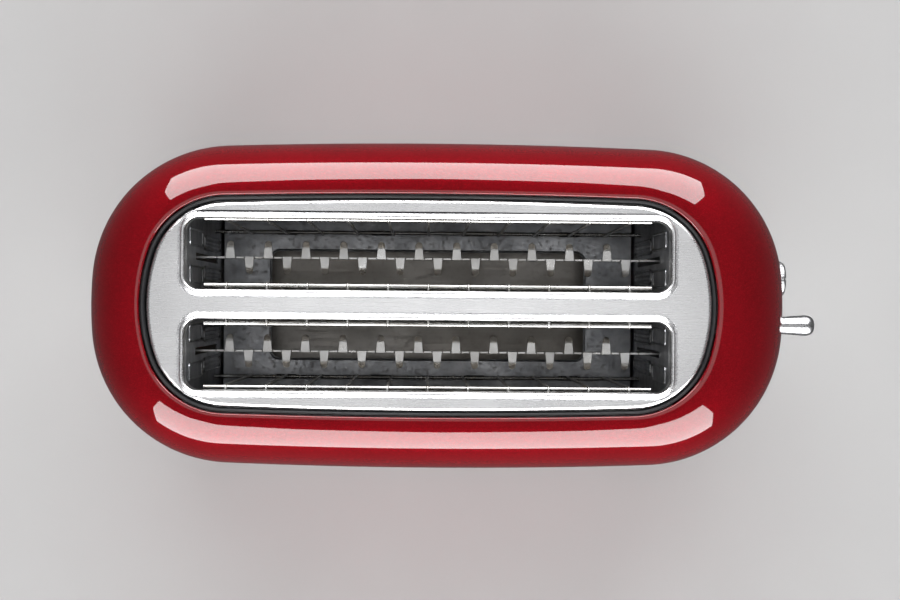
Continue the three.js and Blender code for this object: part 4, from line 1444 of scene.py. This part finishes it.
@dataclass
class Chassis:
    """The sheet-steel cage that holds the elements: end plates, floor and reflectors."""

    floor_z: float = 47.2
    sheet: float = 1.2
    top_z: float = 192.0
    half_width: float = 64.0
    tab_y: float = 60.0
    tab_half: float = 4.0
    tab_reach: tuple[float, float] = (0.2, 14.0)
    tab_z: tuple[float, float] = (20.6, 21.8)

    def end_plate(self, end: End, name: str) -> Piece:
        """One end plate with its rack slots, pivot holes and pressed frames.

        Args:
            end: which end it stands at.
            name: the piece's name.

        Returns:
            The plate.
        """
        inner = DECK_X + end.value * END_PLATE_REACH

        def place(u: float, v: float, w: float) -> Vector:
            """Stands the sheet upright, with its face towards the slots."""
            return Vector((inner * MM - end.value * w, u, v))

        w = self.half_width
        outline = [(-w, 21), (-54, 21), (-54, 30), (54, 30), (54, 21), (w, 21), (w, self.top_z - 4)]
        outline += [(w - 1.2, self.top_z - 1.2), (w - 4, self.top_z), (4 - w, self.top_z)]
        outline += [(1.2 - w, self.top_z - 1.2), (-w, self.top_z - 4)]
        slots = [
            RoundedRectangle(4 * MM, 90 * MM, 1.9 * MM, side.value * SLOT_Y * MM, 111 * MM).outline(5)
            for side in Side
        ]
        pivots = [
            circle(1.6 * MM, guard_line(side, outer) * MM, PIVOT_Z * MM, 16)
            for side in Side
            for outer in (True, False)
        ]
        edge = [(u * MM, v * MM) for u, v in outline]
        sheet = plate("sheet", edge, [*slots, *pivots], self.sheet * MM, place)
        frames = []
        for side in Side:
            for way in (-1, 1):
                middle = side.value * SLOT_Y + way * 9
                for shrink, height in ((0.0, 0.95), (2.6, 0.6)):
                    path = RoundedRectangle(
                        (7.6 - 2 * shrink) * MM,
                        (66 - 2 * shrink) * MM,
                        (2.4 - shrink * 0.6) * MM,
                        middle * MM,
                        91 * MM,
                    )
                    bead = [(-0.9, -0.3), (-0.8, 0.3 * height), (-0.4, 0.85 * height), (0.0, height)]
                    bead += [(0.4, 0.85 * height), (0.8, 0.3 * height), (0.9, -0.3)]
                    frames.append(swept_ring(path, bead, place))
                across = side.value * SLOT_Y + way * 10.5
                upper = RoundedRectangle(9 * MM, 46 * MM, 2 * MM, across * MM, 155 * MM)
                bead = [(-0.8, -0.3), (-0.5, 0.5), (0.0, 0.8), (0.5, 0.5), (0.8, -0.3)]
                frames.append(swept_ring(upper, bead, place))
        low_x, high_x = sorted(inner + end.value * reach for reach in self.tab_reach)
        low_z, high_z = self.tab_z
        tabs = [
            block(
                mm(low_x, side.value * self.tab_y - self.tab_half, low_z),
                mm(high_x, side.value * self.tab_y + self.tab_half, high_z),
                0.2 * MM,
            )
            for side in Side
        ]
        return joined(name, [sheet, *frames, *tabs])

    def floor(self) -> Piece:
        """The chassis floor, with a turned-up rim round the opening the crumbs fall through."""

        def place(u: float, v: float, w: float) -> Vector:
            """Lays the sheet flat."""
            return Vector((u, v, self.floor_z * MM + w))

        reach = END_PLATE_REACH - 1.5
        outer = RoundedRectangle(2 * reach * MM, 116 * MM, 1 * MM, DECK_X * MM, 0.0)
        opening = RoundedRectangle(199 * MM, 68 * MM, 5 * MM, DECK_X * MM, 0.0)
        holes = [opening.outline(8)]
        holes += [
            RoundedRectangle(14 * MM, 3 * MM, 1.4 * MM, (DECK_X + x) * MM, y * MM).outline(4)
            for x in (-90, -30, 30, 90)
            for y in (-46, 46)
        ]
        sheet = plate("sheet", outer.outline(4), holes, self.sheet * MM, place)
        rim = swept_ring(
            opening,
            [(1.6, -0.4), (1.4, 0.25), (0.9, 0.55), (0.4, 0.4), (0.0, -0.2), (0.0, -1.1)],
            place,
        )
        return joined("chassis_tray", [sheet, rim])

    def build(self) -> None:
        """Builds the cage and dresses what keeps its shape."""
        for end, node in ((End.CONTROLS, "end_plate_front"), (End.TRAY, "end_plate_rear")):
            made = self.end_plate(end, node.replace("end_plate", "chassis_end"))
            place_on_body(made, "body", "galvanised_sheet", GALVANISED, node, sheet=True)
        place_on_body(self.floor(), "body", "galvanised_sheet", GALVANISED, "chassis_floor", sheet=True)
        dress(GALVANISED, "reflector_left", "reflector_right", "rod_bracket", "magnet_shelf", "magnet_core")
        dress(GALVANISED, "lift_bridge", "lever_arm", "armature_plate")
        for place in ("outer_left", "inner_left", "inner_right", "outer_right"):
            dress(MICA, f"element_board_{place}")
            dress(RIBBON, f"heating_ribbon_{place}")
        dress(CHROME, "guide_rod")
        dress(BRASS, "lift_sleeve")
        dress(COPPER, "magnet_coil")
        dress(LAMINATE, "control_board")
        dress(BLACK_PLASTIC, "switch_block", "dial_potentiometer")
        dress(PLATED_WIRE, "pop_spring")


@dataclass
class BreadGuards:
    """The four hinged wire guards that close on the bread as the racks go down."""

    bar_radius: float = 1.1
    wire_radius: float = 0.8
    top_z: float = 194.0
    pitch: float = 21.8
    count: int = 11
    hook: float = 3.3
    lean: float = 1.5

    def guard(self, side: Side, outer: bool, name: str) -> Piece:
        """One guard: two long bars, a row of hooked wires welded across them, and its crank.

        Args:
            side: which slot it stands in.
            outer: whether it is on the slot's outer side.
            name: the piece's name.

        Returns:
            The guard as one mesh.
        """
        line = guard_line(side, outer)
        out = side.value * (1 if outer else -1)
        first = DECK_X - (self.count - 1) / 2 * self.pitch
        over = line + out * (self.lean if outer and side is Side.LEFT else 0.0)
        y = over - out * 0.9
        path = [
            mm(first, line - out * 0.9, PIVOT_Z - 1.6),
            mm(first, y, self.top_z - 4),
            mm(first, y, self.top_z + 0.4),
            mm(first, y + out * 0.35, self.top_z + 1.2),
            mm(first, y + out * 1.0, self.top_z + 1.6),
            mm(first, y + out * self.hook, self.top_z + 1.6),
            mm(first, y + out * (self.hook + 0.5), self.top_z + 1.3),
        ]
        row = wires("row", path, self.wire_radius * MM, PLATED_WIRE, self.count, self.pitch * MM)
        end = END_PLATE_REACH
        pivot = [mm(DECK_X - end - 3, line, PIVOT_Z), mm(DECK_X + end + 4, line, PIVOT_Z)]
        top = [mm(DECK_X - 121, over, self.top_z), mm(DECK_X + 121, over, self.top_z)]
        crank = [
            mm(DECK_X + end + 3.2, line - out * 0.6, PIVOT_Z),
            mm(DECK_X + end + 3.2, line + out * 8.8, PIVOT_Z),
        ]
        bars = [wires("bar", ends, self.bar_radius * MM, PLATED_WIRE, sides=14) for ends in (pivot, top)]
        arm = wires("crank", crank, 0.9 * MM, PLATED_WIRE)
        bead = turned("weld", ((-1.1, 0.2), (-0.9, 0.7), (0, 1.25), (0.9, 0.7), (1.1, 0.2)), Vector(), UP, 10)
        spots = [
            mm(first + i * self.pitch, along - out * 0.5, z)
            for i in range(self.count)
            for along, z in ((line, PIVOT_Z), (over, self.top_z))
        ]
        return joined(name, [row, *bars, arm, copies("welds", bead, spots, PLATED_WIRE)], 45)

    def build(self) -> None:
        """Builds the four guards, each on its own body."""
        for side in Side:
            for outer in (True, False):
                node = f"guard_{side.name.lower()}_{'outer' if outer else 'inner'}"
                made = self.guard(side, outer, node.replace("guard", "bread_guard"))
                place_on_body(made, node, "plated_wire", PLATED_WIRE, node)


@dataclass
class BreadLift:
    """The two toothed racks the bread stands on, and the lever that carries them."""

    pitch: float = 21.8
    count: int = 11
    root: float = 5.4
    tip: float = 4.0
    length: float = 9.6
    flat: float = 5.8
    droop: float = 1.7
    thick: float = 0.9
    strip_half: float = 0.55
    rear_x: float = -154.5
    front_x: float = 122.4

    def tooth(self) -> Piece:
        """One tooth pointing along +Y: a flat root, then a rounded tip bent down."""
        rows = []
        steps = 22
        for i in range(steps + 1):
            reach = self.length * math.sin(math.pi / 2 * (i / steps) ** 0.8)
            straight = self.length - self.tip / 2
            half = self.root / 2 + (self.tip - self.root) / 2 * min(reach / straight, 1.0)
            if reach > straight:
                half = math.sqrt(max((self.tip / 2) ** 2 - (reach - straight) ** 2, 0.0025))
            fall = max(0.0, reach - self.flat)
            drop = self.droop * (fall / (self.length - self.flat)) ** 1.25
            ease = min(0.12, half * 0.5)
            top = -drop
            low = top - self.thick
            section = [
                (half - ease, top), (half, top - ease), (half, low + ease), (half - ease, low),
                (ease - half, low), (-half, low + ease), (-half, top - ease), (ease - half, top),
            ]
            rows.append([mm(x, reach, z) for x, z in section])
        return object_from(capped(rows), "tooth", 38)

    def strip_outline(self) -> list[tuple[float, float]]:
        """The upright strip's outline in X and Z: its top edge is notched between the teeth."""
        top = RACK_Z - 0.1
        outline = [(self.front_x, RACK_Z - 9), (self.front_x, top)]
        first = DECK_X + ((self.count - 1) / 2 + 0.5) * self.pitch
        for i in range(2 * self.count + 1):
            x = first - i * self.pitch / 2
            outline += [(x + 2.7, top), (x + 2.2, top - 1.5), (x - 2.2, top - 1.5), (x - 2.7, top)]
        outline += [(self.rear_x, top), (self.rear_x, RACK_Z - 9)]
        return [(x * MM, z * MM) for x, z in outline]

    def rack(self, side: Side) -> Piece:
        """One rack.

        Args:
            side: which slot it runs in.

        Returns:
            The strip with its teeth and its folded end.
        """
        y = side.value * SLOT_Y
        strip = plate(
            "strip",
            self.strip_outline(),
            [],
            2 * self.strip_half * MM,
            lambda u, v, w: Vector((u, (y + self.strip_half) * MM + w, v)),
            bevel=0.12 * MM,
        )
        places = []
        turns = []
        for way, turn in ((1, 0.0), (-1, math.pi)):
            for i in range(self.count):
                x = DECK_X + (i - (self.count - 1) / 2) * self.pitch - way * self.pitch / 4
                places.append(mm(x, y, RACK_Z))
                turns.append(Vector((0.0, 0.0, turn)))
        teeth = copies("teeth", self.tooth(), places, RACK_STEEL, turns)
        fold = block(mm(self.front_x - 0.5, y - 5, RACK_Z - 8.5), mm(self.front_x + 0.7, y + 5, RACK_Z - 0.5))
        return joined(f"toothed_rack_{side.name.lower()}", [strip, teeth, fold], 38)

    def knob(self) -> Piece:
        """The lever's polished knob, which widens to a rounded end."""
        profile = [(0.0, 3.6), (0.0, 4.4), (0.4, 4.8), (1.0, 4.95)]
        profile += [(1.0 + 17.0 * i / 8, 4.95 + 1.1 * (i / 8) ** 1.2) for i in range(1, 9)]
        for i in range(1, 11):
            angle = math.pi / 2 * i / 10
            profile.append((18.0 + 5.5 * math.sin(angle), 2.2 + 3.88 * math.cos(angle) ** 0.85))
        profile.append((23.5, 0.8))
        return turned("lever_tip", profile, mm(END_FACE + 0.5, LEVER_Y, LEVER_Z), OUTWARD, 64)

    def build(self) -> None:
        """Builds what the lever carries."""
        for side in Side:
            node = f"bread_rack_{side.name.lower()}"
            place_on_body(self.rack(side), "bread_lift", "plated_wire", RACK_STEEL, node, sheet=True)
        place_on_body(self.knob(), "bread_lift", "bright_chrome", SATIN_CHROME, "lever_knob")


@dataclass
class Controls:
    """The brushed panel on the lever's end, with the shade dial, four buttons and their lamps."""

    panel: RoundedRectangle = RoundedRectangle(66 * MM, 104 * MM, 12 * MM, 3 * MM, 98 * MM)
    panel_sheet: float = 2.0
    dial_radius: float = 10.85
    cap_width: float = 13.0
    cap_height: float = 6.5
    cap_gap: float = 0.8
    mark_count: int = 9
    mark_reach: float = 12.6
    rib_count: int = 44

    def on_panel(self, u: float, v: float, w: float) -> Vector:
        """A point of the curved panel, from its Y, its Z and how far it stands out."""
        grow = -Housing().set_back(v / MM) * MM + w
        return Vector((BODY_OVAL.end_x(u, grow, End.CONTROLS), u, v))

    def fascia(self) -> Piece:
        """The panel, cut for the lever, the dial, the buttons and the lamps."""
        lever = RoundedRectangle(6 * MM, 87 * MM, 2.9 * MM, LEVER_Y * MM, 103 * MM)
        holes = [lever.outline(8), circle(4 * MM, CONTROL_Y * MM, DIAL_Z * MM)]
        for z in BUTTON_Z:
            width = self.cap_width + self.cap_gap
            cap = RoundedRectangle(width * MM, (self.cap_height + self.cap_gap) * MM, 3.4 * MM)
            holes.append([(u + CONTROL_Y * MM, v + z * MM) for u, v in cap.outline(8)])
            lamp = RoundedRectangle(2.6 * MM, 5 * MM, 1.2 * MM, LAMP_Y * MM, z * MM)
            holes.append(lamp.outline(6))
        return plate(
            "control_panel",
            self.panel.outline(12),
            holes,
            self.panel_sheet * MM,
            self.on_panel,
            bevel=0.3 * MM,
            grid=6 * MM,
        )

    def lamps(self) -> Piece:
        """One frosted window beside each button, on a light pipe behind the panel."""
        windows = []
        for z in BUTTON_Z:
            shape = RoundedRectangle(2 * MM, 4.2 * MM, 0.95 * MM, LAMP_Y * MM, z * MM)
            rows = []
            for x, grow in ((176.8, 0.0), (181.4, 0.0), (182.0, -0.15), (182.35, -0.5)):
                rows.append([Vector((x * MM, u, v)) for u, v in shape.grown(grow * MM).outline(6)])
            windows.append(object_from(capped(rows), "lamp"))
        low = mm(176.8, LAMP_Y - 1, BUTTON_Z[0] - 1.6)
        high = mm(178.4, LAMP_Y + 1, BUTTON_Z[-1] + 1.6)
        pipe = block(low, high, 0.2 * MM)
        return joined("lamp_windows", [*windows, pipe])

    def cap(self, z: float, name: str) -> Piece:
        """One button: a softly crowned cap on a flange.

        Args:
            z: its height.
            name: the piece's name.

        Returns:
            The button.
        """
        shape = RoundedRectangle(self.cap_width * MM, self.cap_height * MM, 3 * MM, CONTROL_Y * MM, z * MM)
        levels = ((179.0, 0.0), (185.3, 0.0), (185.8, -0.12), (186.15, -0.45), (186.32, -0.95), (186.4, -1.7))
        rows = [[Vector((x * MM, u, v)) for u, v in shape.grown(grow * MM).outline(8)] for x, grow in levels]
        flange = block(mm(178.0, CONTROL_Y - 7.7, z - 4.4), mm(179.2, CONTROL_Y + 7.7, z + 4.4))
        return joined(name, [object_from(capped(rows), "cap"), flange])

    def dial(self) -> Piece:
        """The shade dial: a ribbed rim, a dished face and a cut pointer."""
        back, front = 2.0, 17.0
        r = self.dial_radius
        profile = [(-7, 2.6), (-7, 3.0), (back, 3.0), (back, r - 1.2), (back + 0.3, r - 0.5)]
        profile += [(back + 0.8, r - 0.25), (front - 2.0, r - 0.25), (front - 1.2, r - 0.4)]
        profile += [(front - 0.6, r - 0.8), (front - 0.2, r - 1.4), (front, r - 2.2), (front - 0.1, r - 3.0)]
        profile += [(front - 0.5, r - 4.0), (front - 0.6, 0.6)]
        centre = mm(END_FACE, CONTROL_Y, DIAL_Z)
        body = turned("dial", profile, centre, OUTWARD, 72)
        pointer = block(centre + mm(front - 1.1, -0.7, 3), centre + mm(front + 1.5, 0.7, 12), 0.0)
        carved(body, [pointer])
        rib = block(mm(back + 1.4, -0.32, -0.35), mm(front - 2.0, 0.32, 0.3), 0.18 * MM)
        places = []
        turns = []
        for i in range(self.rib_count):
            angle = 2 * math.pi * i / self.rib_count
            reach = Vector((0.0, -math.sin(angle), math.cos(angle)))
            places.append(centre + reach * r * MM)
            turns.append(Vector((angle, 0.0, 0.0)))
        ribs = copies("ribs", rib, places, SATIN_CHROME, turns)
        return joined("ribbed_dial", [body, ribs])

    def marks(self) -> Piece:
        """The printed scale round the dial, longer at its end for a darker toast."""
        marks = []
        for i in range(self.mark_count):
            angle = math.radians(-135 + 270 * i / (self.mark_count - 1))
            length = 1.0 + 0.18 * i
            line = []
            for du, dv in ((-0.35, 0.0), (0.35, 0.0), (0.35, length), (-0.35, length)):
                reach = self.mark_reach + dv
                u = CONTROL_Y + du * math.cos(angle) + reach * math.sin(angle)
                v = DIAL_Z - du * math.sin(angle) + reach * math.cos(angle)
                line.append((u * MM, v * MM))
            marks.append(prism(line, self.on_panel, (-0.1 * MM, 0.03 * MM)))
        return joined("shade_scale", marks)

    def build(self) -> None:
        """Builds the panel and what it carries."""
        panel = self.fascia()
        place_on_body(panel, "body", "brushed_stainless", UPRIGHT_STAINLESS, "control_fascia", sheet=True)
        place_on_body(self.marks(), "body", "black_plastic", PRINT)
        place_on_body(self.lamps(), "body", "clear_plastic", CLEAR, "indicator_lens")
        place_on_body(self.dial(), "dial", "bright_chrome", SATIN_CHROME, "shade_dial")
        for name, z in zip(("cancel", "reheat", "bagel", "frozen"), BUTTON_Z):
            cap = self.cap(z, f"{name}_cap")
            place_on_body(cap, name, "black_plastic", BLACK_PLASTIC, f"{name}_button")


@dataclass
class Studio:
    """The pale floor, the soft lights and the camera above the deck."""

    floor_reach: float = 6.0
    lens: float = 59.76
    eye: Vector = Vector((-0.01955, 0.0004, 1.003))
    target: Vector = Vector((-0.0064, 0.0031, 0.203))
    roll: float = 0.47
    aim: Vector = Vector((0.0, 0.0, 0.2))
    panel_y: float = 0.75
    panel_half: float = 0.76
    panel_extra: float = 0.14
    panel_radiance: float = 9.6
    softbox_place: tuple[float, float] = (1.0, 0.65)
    softbox_size: tuple[float, float] = (1.6, 0.8)
    softbox_radiance: float = 4.4
    overhead_z: float = 1.9
    overhead_size: tuple[float, float] = (0.95, 0.34)
    overhead_radiance: float = 1.3
    room_colour: tuple[float, float, float, float] = (0.8, 0.8, 0.82, 1.0)
    room_strength: float = 0.135

    def floor(self) -> None:
        """Lays the floor just under the feet."""
        shape = bmesh.new()
        bmesh.ops.create_grid(shape, x_segments=8, y_segments=8, size=self.floor_reach)
        floor = object_from(shape, "studio_floor")
        floor.data.materials.append(FLOOR_PAINT.material())
        floor.visible_glossy = False

    def softbox(
        self, name: str, place: Vector, size: tuple[float, float], radiance: float, glossy: bool = True
    ) -> None:
        """Hangs a rectangular softbox that faces the toaster.

        Args:
            name: its name.
            place: its middle.
            size: its side along X, and its other side.
            radiance: how bright its face is.
            glossy: whether it shows in reflections.
        """
        width, height = size
        light = bpy.data.lights.new(name, "AREA")
        light.shape = "RECTANGLE"
        light.size = width
        light.size_y = height
        light.energy = radiance * math.pi * width * height
        holder = linked(name, light)
        holder.location = place
        holder.rotation_euler = (self.aim - place).to_track_quat("-Z", "Y").to_euler()
        holder.visible_camera = False
        holder.visible_glossy = glossy

    def reflector(self, side: Side) -> None:
        """Stands a bright panel beside the toaster that only shows in what is glossy.

        Its upper edge dips in the middle, so that its reflection keeps an even width along the shoulder.

        Args:
            side: which side it stands on.
        """
        reach = self.panel_half + (0.0 if side is Side.LEFT else self.panel_extra)
        lower = [(reach - 0.14, 0.1), (reach, 0.6)]
        upper = [(reach + 0.1, 1.7), (0.5, 1.62), (0.2, 1.12)]
        half = lower + upper
        outline = [*half, (0.0, 1.02), *[(-x, z) for x, z in reversed(half)]]
        shape = bmesh.new()
        shape.faces.new([shape.verts.new((x, side.value * self.panel_y, z)) for x, z in outline])
        panel = object_from(shape, f"reflector_panel_{side.name.lower()}")
        glow = bpy.data.materials.new("reflector panel")
        glow.use_nodes = True
        glow.node_tree.nodes.clear()
        light = add_node(glow.node_tree, "ShaderNodeEmission", {"Strength": self.panel_radiance})
        add_node(glow.node_tree, "ShaderNodeOutputMaterial", {"Surface": light.outputs["Emission"]})
        panel.data.materials.append(glow)
        panel.visible_camera = False
        panel.visible_diffuse = False
        panel.visible_shadow = False

    def lights(self) -> None:
        """Hangs a soft light over either side and a narrow one overhead, in a dim pale room."""
        out, up = self.softbox_place
        for side in Side:
            name = f"softbox_{side.name.lower()}"
            place = Vector((0.0, side.value * out, up))
            self.softbox(name, place, self.softbox_size, self.softbox_radiance, glossy=False)
            self.reflector(side)
        above = Vector((0.0, 0.0, self.overhead_z))
        self.softbox("softbox_overhead", above, self.overhead_size, self.overhead_radiance)
        world = bpy.data.worlds.new("studio")
        world.use_nodes = True
        room = world.node_tree.nodes["Background"].inputs
        room["Color"].default_value = self.room_colour
        room["Strength"].default_value = self.room_strength
        bpy.context.scene.world = world

    def camera(self) -> None:
        """Sets the camera straight above the deck, a little towards the tray end."""
        lens = bpy.data.cameras.new("camera")
        lens.lens = self.lens
        lens.sensor_width = 36.0
        lens.clip_start = 0.01
        holder = linked("camera", lens)
        back = (self.eye - self.target).normalized()
        turn = math.radians(self.roll)
        right = Vector((-math.sin(turn), math.cos(turn), 0.0)).cross(back).normalized()
        rotation = Matrix((right, back.cross(right), back)).transposed()
        holder.matrix_world = Matrix.Translation(self.eye) @ rotation.to_4x4()
        bpy.context.scene.camera = holder

    def build(self) -> None:
        """Sets the whole stage."""
        self.camera()
        self.floor()
        self.lights()
        bpy.context.scene.view_settings.view_transform = "Standard"


def main() -> None:
    """Builds the stage and every sub-assembly in order."""
    logging.basicConfig(level=logging.INFO, format="%(name)s: %(message)s")
    assemblies = (
        Studio(), Housing(), Deck(), Base(), CrumbTray(), Chassis(), BreadGuards(), BreadLift(), Controls(),
    )
    for assembly in assemblies:
        assembly.build()


if __name__ == "__main__":
    main()
